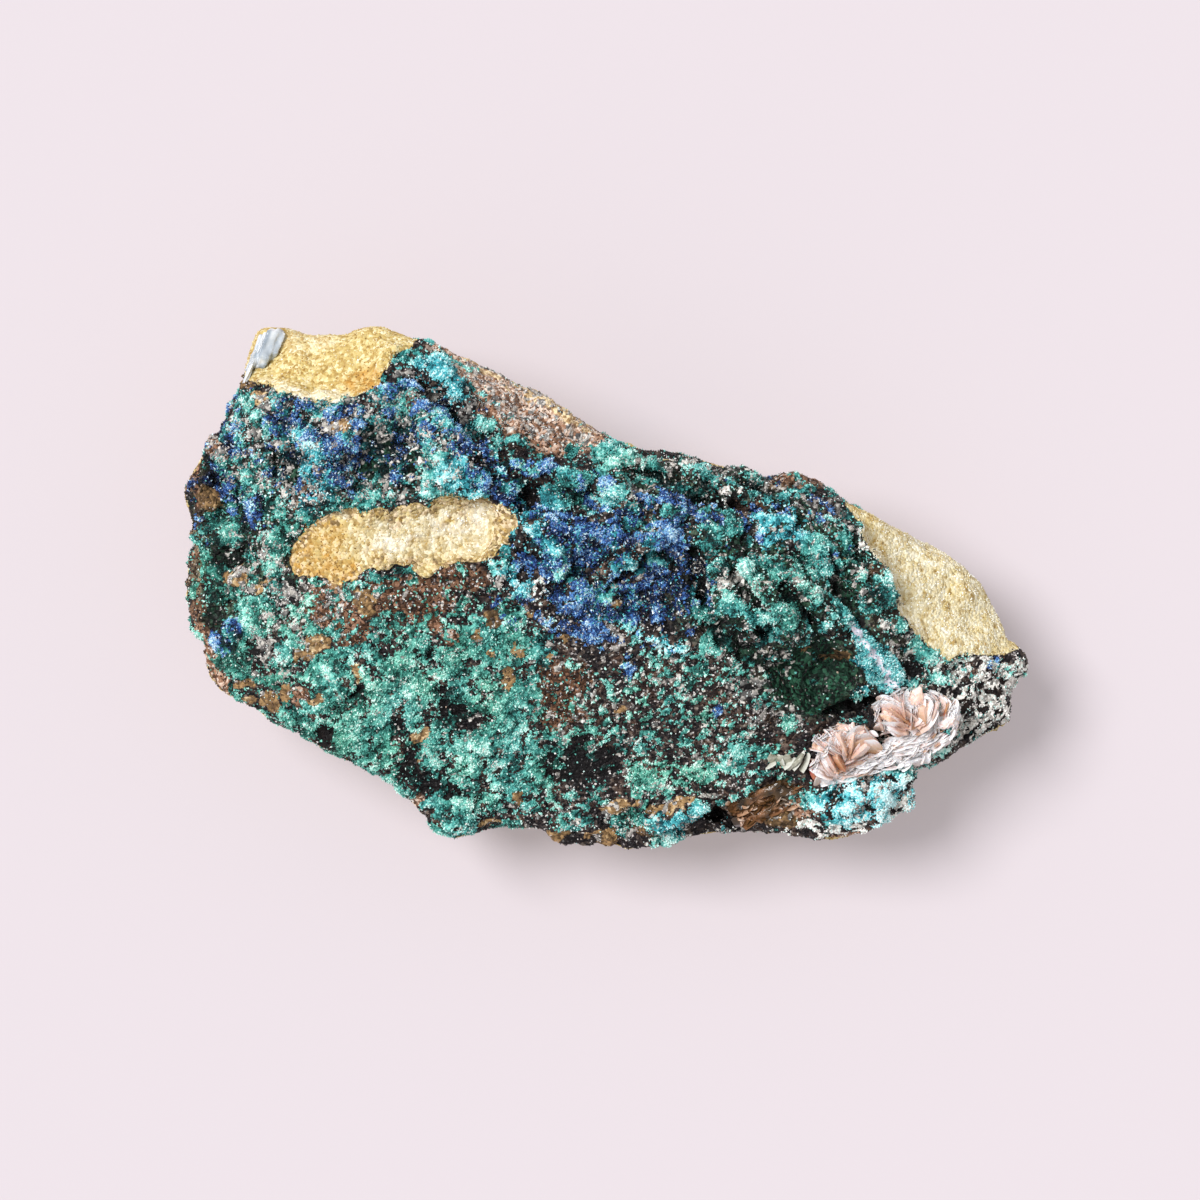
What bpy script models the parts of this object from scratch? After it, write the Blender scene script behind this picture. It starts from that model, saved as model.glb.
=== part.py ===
"""An azurite and malachite specimen: a broken block of tan sandstone under a lumpy crust of green malachite
and blue azurite, with baryte crystals grown on its lower right corner.

The block lies on its flattest face with the crust upwards. +X runs along its length, +Z is up, and the
origin is on the resting face, under the middle of the block. Sizes below are in millimetres, and MM turns
them into Blender's metres.
"""

import math
import random

import bmesh
import bpy
import numpy as np
from mathutils import Euler, Matrix, Vector, noise

MM = 0.001
ROCK_TRIANGLES = 6400
SPHERE_CUTS = 7
CRYSTAL_GAP = 0.4

# The block seen from above, clockwise from its top left corner.
PLAN_OUTLINE = [
    (-33.9, 26.1), (-32.0, 26.2), (-29.8, 25.3), (-28.0, 25.5), (-26.0, 25.2), (-24.5, 25.9), (-22.5, 25.9),
    (-19.4, 24.9), (-17.0, 24.2), (-13.0, 22.2), (-9.0, 20.2), (-7.5, 19.7), (-4.0, 17.4), (0.0, 15.0),
    (3.3, 13.8), (4.8, 13.5), (6.2, 13.8), (7.5, 13.2), (12.0, 12.1), (14.0, 11.9), (15.5, 10.9), (16.7, 11.6),
    (18.5, 11.5), (20.3, 11.2), (21.4, 10.3), (22.2, 9.2), (25.0, 7.9), (28.0, 6.4), (32.0, 4.7), (34.0, 3.7),
    (36.0, 2.2), (37.3, 0.7), (38.2, -1.0), (40.3, -5.2), (41.6, -6.0), (42.2, -6.8), (42.0, -7.9),
    (41.2, -9.2), (40.4, -10.0), (40.5, -11.5), (40.2, -13.3), (39.4, -14.3), (38.0, -14.4), (34.9, -15.7),
    (33.9, -16.7), (30.3, -17.7), (30.5, -20.0), (30.3, -21.3), (27.5, -23.2), (25.5, -24.2), (21.0, -24.9),
    (18.2, -24.2), (14.5, -24.0), (8.5, -24.5), (4.0, -25.9), (2.5, -26.2), (-0.5, -25.2), (-4.5, -25.5),
    (-6.5, -24.1), (-10.5, -23.3), (-12.0, -23.6), (-15.0, -24.7), (-17.8, -23.5), (-18.6, -22.0),
    (-20.3, -20.3), (-22.0, -18.8), (-27.0, -16.4), (-31.5, -13.6), (-33.7, -12.9), (-34.8, -11.8),
    (-38.5, -10.2), (-39.7, -8.7), (-40.4, -7.0), (-40.2, -5.2), (-41.6, -3.3), (-42.1, 0.0), (-42.1, 2.0),
    (-41.2, 5.0), (-41.5, 8.0), (-42.2, 9.5), (-41.0, 12.2), (-39.8, 14.0), (-39.4, 15.3), (-38.2, 16.0),
    (-37.5, 18.0), (-36.4, 19.4), (-36.5, 20.5), (-35.9, 21.3), (-35.9, 23.0), (-35.0, 25.2),
]

# The top is the lowest of these slopes: (height at the origin, rise along X, rise along Y).
TOP_SLOPES = {
    "crown": (26.8, 0.02, 0.03),
    "front": (27.0, 0.0, 0.55),
    "west_end": (44.7, 0.65, 0.0),
    "south_west": (38.2, 0.42, 0.42),
    "north_edge": (31.2, -0.25, -0.55),
    "south_east": (36.5, -0.50, 0.31),
}
TOP_ROUNDING = 1.3

# The underside is the highest of these, and what lies under the floor is cut off flat.
UNDER_SLOPES = {
    "base": (-2.6, 0.0, 0.0),
    "front": (-11.5, 0.05, -0.82),
    "front_west": (-20.0, -0.52, -0.60),
    "west": (-22.5, -0.82, 0.10),
    "back_west": (-18.0, -0.22, 0.85),
    "back": (-8.5, 0.28, 0.80),
    "east": (-17.0, 0.60, -0.10),
    "south_east": (-18.5, 0.50, -0.62),
}
UNDER_ROUNDING = 0.35
SHOULDER = 0.40
WAIST_SHARE = 0.76
UNDERCUT = 1.0
UNDERCUT_DEPTH = 0.3
BODY_CORNERS = 6
WAIST_BAND = 0.02

# Faces where the crust has broken away and shows clean sandstone. Each is an outline seen from above.
CORNER_FACE = [
    (-34.9, 20.6), (-33.0, 19.9), (-31.5, 19.2), (-29.0, 18.6), (-26.0, 18.7), (-24.0, 19.3), (-22.4, 20.2),
    (-22.0, 21.5), (-21.3, 22.8), (-19.0, 24.4), (-18.0, 29.0), (-39.0, 29.0), (-39.0, 21.0),
]
CORNER_SLOPE = (44.1, 0.275, -0.68)
END_FACE = [
    (23.3, 8.6), (24.5, 7.0), (25.0, 6.2), (25.3, 4.5), (27.3, 1.9), (28.5, -0.8), (28.4, -2.2), (31.8, -5.8),
    (33.0, -6.6), (38.5, -6.6), (43.5, -6.6), (43.5, 0.0), (37.0, 7.0), (24.0, 12.0),
]
END_SLOPE = (36.8, -0.60, -0.25)
WINDOW_FACE = [
    (-31.6, 3.6), (-30.2, 5.6), (-27.3, 7.9), (-23.0, 7.4), (-19.0, 8.4), (-14.5, 9.4), (-12.0, 9.3),
    (-10.3, 8.3), (-9.6, 7.0), (-11.4, 4.0), (-12.5, 3.0), (-15.5, 2.6), (-18.8, 1.6), (-22.5, 2.7),
    (-26.6, 0.2), (-29.6, 1.3), (-31.5, 1.5),
]
WINDOW_DEPTH = 0.9
CRUST_EDGE = 0.7

# Lumps and hollows: centre X, Y, half length, half width, turn in degrees, height or, below zero, depth.
MOUNDS = [
    (-41.0, 9.7, 2.0, 1.7, 0, 2.2), (-38.8, 14.6, 1.9, 1.3, 50, 1.6), (-39.4, -6.6, 1.8, 2.4, 15, -1.2),
    (-36.6, 13.4, 2.2, 1.5, 60, 1.1), (-33.6, 16.6, 2.6, 1.5, 20, 1.0), (-31.6, 14.6, 1.6, 1.2, 0, 0.9),
    (-31.2, 12.6, 1.3, 2.0, 0, -1.3), (-28.6, 12.6, 1.5, 3.2, 35, 1.4), (-26.0, 15.6, 1.8, 1.4, 0, 1.0),
    (-25.5, 12.0, 2.2, 2.0, 20, -0.9), (-22.0, 12.6, 3.0, 2.4, 10, -1.8), (-19.8, 16.6, 1.8, 1.4, 0, -1.0),
    (-19.0, 13.3, 1.5, 1.2, 0, 1.1), (-15.8, 11.8, 2.8, 2.0, -40, 1.8), (-12.0, 14.0, 1.0, 3.4, 48, -1.9),
    (-27.0, 9.6, 1.9, 1.3, 0, 1.0), (-22.4, 9.2, 1.9, 1.0, -25, 0.9), (-33.3, 10.4, 2.0, 1.7, 0, 1.0),
    (-36.4, 8.2, 1.6, 2.2, 10, -0.9), (-34.6, 6.2, 1.8, 2.4, 0, 0.9), (-37.6, 5.0, 1.9, 1.5, 40, 0.9),
    (-37.6, 3.6, 1.6, 1.1, 0, -1.2), (-39.8, -1.4, 2.2, 1.4, 0, 0.9), (-38.2, -2.0, 2.0, 0.9, 20, -1.2),
    (-36.8, -4.6, 2.4, 2.2, 0, 1.3), (-33.8, -2.6, 1.8, 1.6, 0, 0.8), (-33.4, 3.2, 1.2, 1.6, 0, 0.8),
    (-7.6, 8.6, 1.8, 2.2, 30, -1.9), (-7.3, 4.9, 0.8, 1.5, 30, -1.6), (-8.8, 2.8, 1.3, 1.5, 0, 0.9),
    (-3.2, 2.6, 1.6, 1.2, 0, -1.2), (0.0, 5.8, 3.8, 1.7, -10, 1.1), (5.8, 8.0, 1.5, 1.4, -20, 1.7),
    (4.2, 1.3, 3.6, 1.7, 8, -1.7), (8.8, 0.9, 1.2, 2.6, 12, -2.6), (7.5, 6.2, 1.1, 0.9, 0, -1.2),
    (10.0, 5.7, 1.9, 1.5, 0, 1.5), (11.3, 1.2, 2.2, 1.8, -50, 1.3), (12.0, -2.4, 2.4, 1.6, -30, 1.5),
    (13.5, 4.2, 0.9, 0.8, 0, -1.1), (17.0, 5.6, 2.0, 1.6, -35, 1.5), (16.6, 3.2, 0.8, 0.7, 0, -1.2),
    (20.4, 4.4, 1.6, 1.3, 0, 1.1), (23.2, 3.3, 1.0, 0.9, 0, -1.5), (22.9, -0.9, 1.2, 1.7, 30, -1.6),
    (25.3, -0.7, 1.9, 1.6, 0, 1.0), (21.8, -2.6, 1.5, 1.3, -40, 1.4), (14.2, 8.0, 2.2, 1.2, -20, -1.3),
    (7.8, 11.4, 1.6, 1.2, -30, 1.0), (1.0, 12.8, 3.2, 1.4, -12, 1.0), (4.4, 11.2, 2.2, 0.8, 0, -1.3),
    (20.8, -8.2, 3.4, 3.0, 20, -3.2), (17.6, -5.6, 2.2, 0.7, -20, -1.6), (16.0, -3.9, 1.2, 1.0, 0, -1.4),
    (9.6, -4.2, 2.8, 1.4, -38, 0.9), (16.5, -15.0, 3.0, 2.2, 0, -0.8), (13.4, -19.3, 2.6, 1.4, 10, 0.8),
    (-15.6, -22.8, 2.2, 1.8, 0, 1.6), (-11.0, -22.0, 2.0, 1.3, 0, -1.0), (-26.0, -9.6, 5.0, 2.4, 10, 0.6),
    (-25.0, -9.9, 0.7, 1.5, 15, -0.9), (-13.5, -16.0, 3.4, 2.6, 0, 0.7), (-3.0, -13.5, 5.0, 3.0, 0, -0.5),
    (-28.8, -5.2, 1.8, 1.2, 0, -0.7), (25.0, -21.0, 4.2, 2.4, 12, 2.4), (37.4, -10.8, 3.0, 2.6, 0, 1.4),
    (35.3, -14.0, 1.1, 1.6, -30, -1.9), (30.6, -16.9, 1.6, 0.6, 15, -1.2), (33.4, -8.9, 2.0, 1.0, -20, 1.2),
]

# Ridges and clefts along a line: its points, half width, height or, below zero, depth.
CREASES = [
    ([(-19.5, 18.6), (-16.6, 16.2), (-13.2, 13.4)], 1.0, 1.5),
    ([(-17.0, 21.8), (-14.4, 19.0), (-11.6, 16.2), (-9.4, 14.2)], 0.9, 1.4),
    ([(-18.4, 20.2), (-15.4, 17.2), (-12.4, 14.8)], 0.7, -1.1),
    ([(-9.6, 12.8), (-6.6, 11.9), (-3.4, 10.9)], 0.9, 1.3),
    ([(-6.0, 9.8), (-2.2, 10.2), (1.0, 9.4), (2.2, 8.2)], 0.7, 1.1),
    ([(-6.4, 8.8), (-3.4, 8.0), (-0.4, 7.2)], 0.6, 0.9),
    ([(-7.6, 6.6), (-5.8, 5.0), (-4.9, 3.2), (-5.0, 1.7)], 0.6, 1.5),
    ([(-11.5, 3.0), (-10.2, 1.2), (-8.0, 0.2)], 0.7, 1.0),
    ([(8.2, 9.0), (10.4, 8.6), (13.2, 8.1)], 0.5, -1.8),
    ([(12.7, 3.4), (13.8, 1.4), (16.2, -0.4)], 0.6, 1.5),
    ([(15.9, -1.2), (17.3, -2.8), (18.7, -4.6)], 0.75, 2.3),
    ([(17.6, 2.0), (19.0, 0.2), (20.0, -1.6)], 0.6, 1.4),
    ([(21.0, -0.6), (22.6, -1.8), (23.4, -2.8)], 0.6, 1.1),
    ([(9.4, -1.4), (10.6, -3.6), (13.2, -4.6), (15.6, -3.6)], 0.6, -1.8),
    ([(9.0, -3.6), (12.0, -5.4), (15.6, -7.4), (17.8, -7.8)], 0.7, -1.3),
    ([(22.0, -11.9), (24.0, -11.5), (26.6, -10.7)], 0.8, -2.2),
    ([(3.4, -4.2), (5.4, -4.4), (7.3, -5.6)], 0.6, 0.9),
    ([(4.2, -23.4), (6.8, -22.4), (9.4, -21.2)], 0.7, 1.7),
    ([(9.6, -22.2), (12.0, -22.4), (15.0, -23.0)], 0.6, -1.7),
    ([(0.0, -21.6), (2.4, -21.0), (4.0, -21.9)], 0.6, 0.8),
    ([(4.6, -21.9), (6.6, -21.2), (8.8, -20.0)], 0.5, 0.8),
    ([(-32.0, 5.0), (-31.6, 7.6), (-29.4, 8.6)], 0.6, 0.9),
]

# Ledges: the ground on the left of each line, seen along it, stands this high and drops at the line.
LEDGES = [
    ([(-0.6, 1.4), (2.0, 2.9), (4.6, 4.6)], 2.6, 2.0),
    ([(7.2, 9.6), (10.2, 9.4), (13.2, 8.5)], 1.9, 1.9),
    ([(24.6, 6.9), (25.6, 3.6), (27.9, 0.6), (28.2, -2.6)], -1.2, 0.7),
    ([(-13.4, 14.0), (-12.6, 12.0), (-12.4, 10.0)], -1.8, 1.2),
    ([(10.2, -3.0), (12.2, -4.0), (14.6, -3.6)], 1.7, 1.1),
]
LEDGE_DROP = 0.3

# Roughness: size of the grain and how far it stands, on the crust and on the broken sides.
CRUST_LUMPS = [(3.2, 1.1), (1.6, 0.9)]
QUIET_SHARE = 0.3
BROKEN_SCOOPS = [(9.0, 3.2), (3.8, 1.1)]
BLOCK_WAVES = (15.0, 1.1)
WANDER = [(4.5, 1.1), (1.8, 0.55)]


# Crystal groups. A fan is its apex X, Y, Z, first and last direction in degrees, number of blades, their
# length and their height. A plate is its middle X, Y, Z, its length, height and thickness.
PINK_FANS = [
    (30.3, -13.9, 17.0, 158, 66, 8, 4.5, 3.4),
    (31.2, -13.9, 16.6, 52, 14, 4, 4.0, 3.2),
    (23.3, -16.0, 17.2, 172, 38, 9, 3.3, 3.2),
    (22.2, -18.3, 16.0, 158, 112, 4, 3.0, 2.8),
]
PINK_PLATES = [
    (24.2, -16.9, 16.6, 6.6, 3.2, 0.7), (23.6, -17.7, 16.0, 6.0, 3.0, 0.6), (23.2, -18.4, 15.2, 5.0, 2.8, 0.7),
    (28.0, -15.9, 16.2, 7.0, 3.2, 0.7), (27.6, -16.7, 15.4, 6.4, 3.0, 0.6), (31.4, -14.6, 16.0, 6.4, 3.4, 0.7),
    (31.6, -15.4, 15.2, 5.6, 3.0, 0.7), (33.0, -13.6, 15.6, 3.8, 3.0, 0.8), (29.4, -15.1, 16.6, 4.6, 2.6, 0.5),
]
BROWN_PLATES = [
    (15.2, -19.9, 15.4, 6.6, 2.6, 0.7), (14.8, -20.6, 15.0, 6.2, 2.6, 0.8), (16.2, -21.3, 14.4, 5.6, 2.6, 0.8),
    (15.9, -22.1, 13.6, 5.0, 2.6, 0.9), (17.6, -20.2, 15.2, 3.4, 2.4, 0.9),
]
# A pale plate is its foot, tip, the way its width runs, its width and thickness.
PALE_PLATES = [
    ((17.8, -17.4, 16.8), (19.2, -16.3, 18.6), (0.6, 0.7, 0.0), 1.7, 0.5),
    ((17.2, -17.2, 16.8), (17.7, -16.2, 18.5), (1.0, -0.2, 0.0), 1.3, 0.45),
    ((16.5, -17.0, 16.8), (15.9, -16.2, 18.3), (1.0, 0.4, 0.0), 1.0, 0.4),
    ((18.6, -17.3, 16.6), (19.6, -17.6, 17.8), (0.2, 1.0, 0.0), 0.9, 0.4),
]
# A spear of the coated blade is its foot, tip, width and thickness.
COATED_BLADE = [
    ((28.2, -9.4, 19.5), (23.2, -2.5, 23.9), 3.1, 1.4),
    ((27.2, -9.6, 19.3), (24.4, -4.6, 22.0), 1.9, 1.3),
]
# A prism of the corner crystal is its foot, tip, height and thickness.
CORNER_PRISMS = [
    ((-35.4, 21.6, 17.8), (-34.6, 24.9, 16.4), 4.8, 0.9),
    ((-34.8, 21.5, 18.2), (-33.7, 25.4, 16.6), 5.2, 1.0),
    ((-34.1, 22.2, 17.9), (-32.9, 25.4, 16.4), 4.8, 1.0),
]


def clear_scene():
    """Removes what the startup scene holds."""
    for obj in list(bpy.data.objects):
        bpy.data.objects.remove(obj)


def finish_material(name, colour, roughness, alpha=1.0):
    """A Principled material in one colour."""
    material = bpy.data.materials.new(name)
    material.use_nodes = True
    shader = material.node_tree.nodes["Principled BSDF"]
    shader.inputs["Base Color"].default_value = (*colour, 1.0)
    shader.inputs["Roughness"].default_value = roughness
    shader.inputs["Metallic"].default_value = 0.0
    shader.inputs["Alpha"].default_value = alpha
    return material


def object_from(name, bm, material):
    """A new object holding the bmesh, with its faces pointing out."""
    bmesh.ops.recalc_face_normals(bm, faces=bm.faces)
    mesh = bpy.data.meshes.new(name)
    bm.to_mesh(mesh)
    bm.free()
    mesh.materials.append(material)
    obj = bpy.data.objects.new(name, mesh)
    bpy.context.scene.collection.objects.link(obj)
    return obj


def apply_modifiers(obj):
    """Makes the object's mesh what its modifiers show, and removes them."""
    graph = bpy.context.evaluated_depsgraph_get()
    shown = bpy.data.meshes.new_from_object(obj.evaluated_get(graph))
    obj.modifiers.clear()
    obj.data = shown


def smooth_step(value):
    """0 below 0, 1 above 1, and an even curve between."""
    held = np.clip(value, 0.0, 1.0)
    return held * held * (3.0 - 2.0 * held)


def round_minimum(heights, rounding):
    """The lowest of several heights at each point, with the creases between them rounded."""
    stack = np.stack(heights)
    lowest = stack.min(axis=0)
    return lowest - rounding * np.log(np.exp(-(stack - lowest) / rounding).sum(axis=0))


def slope_height(slope, x, y):
    """Height of a plane given as height at the origin, rise along X and rise along Y."""
    height, along_x, along_y = slope
    return height + along_x * x + along_y * y


def distance_to_path(points, x, y):
    """(distance, side) to a line of points seen from above; side is above 0 on the line's left."""
    nearest = np.full(x.shape, 1e9)
    side = np.zeros(x.shape)
    for (ax, ay), (bx, by) in zip(points, points[1:], strict=False):
        dx, dy = bx - ax, by - ay
        along = np.clip(((x - ax) * dx + (y - ay) * dy) / (dx * dx + dy * dy), 0.0, 1.0)
        away = np.hypot(x - ax - along * dx, y - ay - along * dy)
        turn = np.sign(dx * (y - ay) - dy * (x - ax))
        side = np.where(away < nearest, turn, side)
        nearest = np.minimum(nearest, away)
    return nearest, side


def inside_outline(outline, x, y):
    """Distance inside a closed outline seen from above, below 0 outside it."""
    closed = [*outline, outline[0]]
    nearest, _ = distance_to_path(closed, x, y)
    within = np.zeros(x.shape, bool)
    for (ax, ay), (bx, by) in zip(closed, closed[1:], strict=False):
        crosses = (ay > y) != (by > y)
        rise = by - ay if by != ay else 1.0
        within ^= crosses & (x < ax + (y - ay) * (bx - ax) / rise)
    return np.where(within, nearest, -nearest)


def add_mounds(height, x, y):
    """The height with each lump raised and each hollow sunk."""
    for centre_x, centre_y, half_length, half_width, turn, rise in MOUNDS:
        angle = math.radians(turn)
        along = (x - centre_x) * math.cos(angle) + (y - centre_y) * math.sin(angle)
        across = (y - centre_y) * math.cos(angle) - (x - centre_x) * math.sin(angle)
        reach = np.hypot(along / half_length, across / half_width)
        height = height + rise * smooth_step(1.25 - reach * 0.8)
    return height


def add_creases(height, x, y):
    """The height with each ridge raised and each cleft sunk."""
    for points, half_width, rise in CREASES:
        away, _ = distance_to_path(points, x, y)
        height = height + rise * smooth_step(1.3 - away / half_width * 0.75)
    return height


def add_ledges(height, x, y):
    """The height with each ledge standing on the left of its line."""
    for points, reach, rise in LEDGES:
        away, side = distance_to_path(points, x, y)
        signed = away * side * (1.0 if reach > 0 else -1.0)
        stands = smooth_step(signed / LEDGE_DROP) * smooth_step(1.0 - signed / abs(reach))
        height = height + rise * stands
    return height


def wander(x, y):
    """The plan points moved a little, so that every edge, ridge and lump runs as unevenly as in the stone."""
    moved = np.stack([x, y], axis=-1)
    for i, (px, py) in enumerate(zip(x.flat, y.flat, strict=True)):
        for size, far in WANDER:
            push = noise.noise_vector(Vector((px / size, py / size, 4.0)))
            moved[i] += far * push.x, far * push.y
    return moved[:, 0], moved[:, 1]


def top_height(x, y):
    """Height of the crusted upper surface over each plan point."""
    x, y = wander(x, y)
    height = round_minimum([slope_height(s, x, y) for s in TOP_SLOPES.values()], TOP_ROUNDING)
    height = add_mounds(height, x, y)
    height = add_creases(height, x, y)
    height = add_ledges(height, x, y)
    for outline, slope in ((CORNER_FACE, CORNER_SLOPE), (END_FACE, END_SLOPE)):
        broken = smooth_step(inside_outline(outline, x, y) / CRUST_EDGE)
        face = np.minimum(slope_height(slope, x, y), height)
        height = height + broken * (face - height)
    window = smooth_step(inside_outline(WINDOW_FACE, x, y) / (1.6 * CRUST_EDGE))
    floor = round_minimum([slope_height(s, x, y) for s in TOP_SLOPES.values()], TOP_ROUNDING)
    scoop = WINDOW_DEPTH + 0.05 * (x + 21.0)
    return height + window * (floor - scoop - height)


def under_height(x, y):
    """Height of the broken underside over each plan point."""
    slopes = [-slope_height(s, x, y) for s in UNDER_SLOPES.values()]
    return -round_minimum(slopes, UNDER_ROUNDING)


def outline_radius(angle, corners):
    """How far an outline seen from above stands from the origin in each direction."""
    corners = np.array(corners)
    share = np.linspace(0.0, 1.0, 8, endpoint=False)[:, None]
    ends = np.roll(corners, -1, axis=0)
    walk = np.concatenate([a + (b - a) * share for a, b in zip(corners, ends, strict=True)])
    turn = np.arctan2(walk[:, 1], walk[:, 0])
    order = np.argsort(turn)
    return np.interp(angle, turn[order], np.hypot(walk[:, 0], walk[:, 1])[order], period=2 * math.pi)


def crusted(x, y, z_up):
    """1 where the crust covers the block, 0 on clean broken stone; z_up is how far the surface faces up."""
    bare = np.maximum.reduce([inside_outline(f, x, y) for f in (CORNER_FACE, END_FACE, WINDOW_FACE)])
    return smooth_step(0.5 - bare / 0.6) * smooth_step(z_up * 2.2 - 0.2)


def liveliness(x, y):
    """How lumpy the crust is: fully so at the back and right, much less on the even front slope."""
    back = smooth_step((y + 4.0) / 4.0)
    right = smooth_step((x + 0.35 * y - 13.0) / 5.0)
    return QUIET_SHARE + (1.0 - QUIET_SHARE) * np.maximum(back, right)


def roughen(points, normals, cover):
    """Each point moved along its normal: lumps where the crust covers it, angular scoops where it is broken."""
    moved = points.copy()
    lively = liveliness(points[:, 0], points[:, 1])
    wave_size, wave_height = BLOCK_WAVES
    for i, (point, normal) in enumerate(zip(points, normals, strict=True)):
        place = Vector(point)
        rise = wave_height * noise.noise(place / wave_size)
        lumps = sum(far * noise.noise(place / size + Vector((7.0, 0.0, 0.0))) for size, far in CRUST_LUMPS)
        scoops = sum(far * (noise.voronoi(place / size)[0][0] - 0.5) for size, far in BROKEN_SCOOPS)
        bare = 1.0 - cover[i]
        smooth_face = bare * (1.0 if normal[2] < 0.35 else 0.12)
        moved[i] += normal * (rise * (0.3 + 0.7 * bare) + lumps * cover[i] * lively[i] + scoops * smooth_face)
    return moved


def hold_to_outline(points, level):
    """Points with none past the plan outline, and those at the waist, where level is near 0, right on it."""
    held = points.copy()
    rim = outline_radius(np.arctan2(points[:, 1], points[:, 0]), PLAN_OUTLINE)
    reach = np.hypot(points[:, 0], points[:, 1])
    wanted = np.where(np.abs(level) < WAIST_BAND, rim, np.minimum(reach, rim))
    held[:, :2] *= (wanted / reach)[:, None]
    return held


def vertex_normals(bm, points):
    """Moves the bmesh's vertices to the points and returns their normals."""
    for vertex, point in zip(bm.verts, points, strict=True):
        vertex.co = point
    bm.normal_update()
    return np.array([v.normal for v in bm.verts])


def make_host_rock(material):
    """The sandstone block with its crust: a sphere drawn out to the plan outline and the two heights."""
    bm = bmesh.new()
    bmesh.ops.create_icosphere(bm, subdivisions=SPHERE_CUTS, radius=1.0)
    ball = np.array([v.co for v in bm.verts])
    angle = np.arctan2(ball[:, 1], ball[:, 0])
    reach = np.hypot(ball[:, 0], ball[:, 1])
    below = smooth_step(-ball[:, 2] / UNDERCUT_DEPTH)
    rim = outline_radius(angle, PLAN_OUTLINE)
    body = outline_radius(angle, PLAN_OUTLINE[::BODY_CORNERS]) - UNDERCUT
    edge = rim + below * (np.minimum(rim, body) - rim)
    x, y = reach * edge * np.cos(angle), reach * edge * np.sin(angle)
    top, under = top_height(x, y), under_height(x, y)
    rim_top = top_height(edge * np.cos(angle) * 0.97, edge * np.sin(angle) * 0.97)
    rim_under = under_height(edge * np.cos(angle), edge * np.sin(angle))
    waist = rim_under + WAIST_SHARE * (rim_top - rim_under)
    shoulder = 1.0 - (1.0 - np.clip(np.abs(ball[:, 2]) / SHOULDER, 0.0, 1.0)) ** 2.6
    far = np.where(ball[:, 2] > 0, top, under)
    points = np.stack([x, y, waist + (far - waist) * shoulder], axis=1)
    normals = vertex_normals(bm, points)
    points = roughen(points, normals, crusted(x, y, normals[:, 2]))
    points = hold_to_outline(points, ball[:, 2])
    vertex_normals(bm, points * MM)
    rock = object_from("host_rock", bm, material)
    thin = rock.modifiers.new("Fewer faces", "DECIMATE")
    thin.ratio = ROCK_TRIANGLES / len(rock.data.polygons)
    apply_modifiers(rock)
    cut_flat(rock)
    return rock


def cut_flat(obj):
    """Cuts off what lies under the floor, so that the block rests on one flat face."""
    bm = bmesh.new()
    bm.from_mesh(obj.data)
    parts = [*bm.verts, *bm.edges, *bm.faces]
    cut = bmesh.ops.bisect_plane(
        bm, geom=parts, dist=1e-7, plane_co=(0, 0, 0), plane_no=(0, 0, -1), clear_outer=True
    )
    rim = [e for e in cut["geom_cut"] if isinstance(e, bmesh.types.BMEdge)]
    bmesh.ops.contextual_create(bm, geom=rim)
    bmesh.ops.recalc_face_normals(bm, faces=bm.faces)
    bm.to_mesh(obj.data)
    bm.free()


def add_tablet(bm, foot, tip, across, rings):
    """A flat crystal from foot to tip; rings gives (share of the length, width, thickness) along it."""
    foot, tip = Vector(foot), Vector(tip)
    axis = tip - foot
    side = axis.cross(Vector(across)).normalized()
    wide = side.cross(axis).normalized()
    loops = []
    for share, width, thickness in rings:
        centre = foot + axis * share
        w, t = wide * width / 2, side * thickness / 2
        corners = (centre + w + t, centre - w + t, centre - w - t, centre + w - t)
        loops.append([bm.verts.new(c * MM) for c in corners])
    for lower, upper in zip(loops, loops[1:], strict=False):
        for i in range(4):
            bm.faces.new((lower[i], lower[(i + 1) % 4], upper[(i + 1) % 4], upper[i]))
    bm.faces.new(loops[0])
    bm.faces.new(loops[-1])


def add_root(bm, centre, half_sizes, turn):
    """The low rounded mass that a crystal group grows from."""
    place = Matrix.LocRotScale(Vector(centre) * MM, Euler((0, 0, turn)), Vector(half_sizes) * MM)
    bmesh.ops.create_icosphere(bm, subdivisions=2, radius=1.0, matrix=place)


def grown_together(name, bm, material):
    """The bmesh's overlapping crystals joined into one solid."""
    for face in bm.faces:
        face.select = False
    obj = object_from(name, bm, material)
    empty = bpy.data.objects.new("nothing to cut", bpy.data.meshes.new("nothing to cut"))
    bpy.context.scene.collection.objects.link(empty)
    union = obj.modifiers.new("Grown together", "BOOLEAN")
    union.operation = "UNION"
    union.solver = "EXACT"
    union.use_self = True
    union.object = empty
    apply_modifiers(obj)
    bpy.data.objects.remove(empty)
    keep_largest_body(obj)
    return obj


def keep_largest_body(obj):
    """Removes loose crumbs, leaving the one closed body with the most faces, with clean triangles."""
    bm = bmesh.new()
    bm.from_mesh(obj.data)
    bmesh.ops.remove_doubles(bm, verts=bm.verts, dist=2e-6)
    bmesh.ops.dissolve_degenerate(bm, edges=bm.edges, dist=2e-6)
    waiting = set(bm.verts)
    bodies = []
    while waiting:
        body, front = set(), [waiting.pop()]
        while front:
            vertex = front.pop()
            body.add(vertex)
            near = [e.other_vert(vertex) for e in vertex.link_edges]
            fresh = [v for v in near if v in waiting]
            waiting.difference_update(fresh)
            front.extend(fresh)
        bodies.append(body)
    bodies.sort(key=len)
    loose = [v for body in bodies[:-1] for v in body]
    bmesh.ops.delete(bm, geom=loose, context="VERTS")
    bm.to_mesh(obj.data)
    bm.free()


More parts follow.
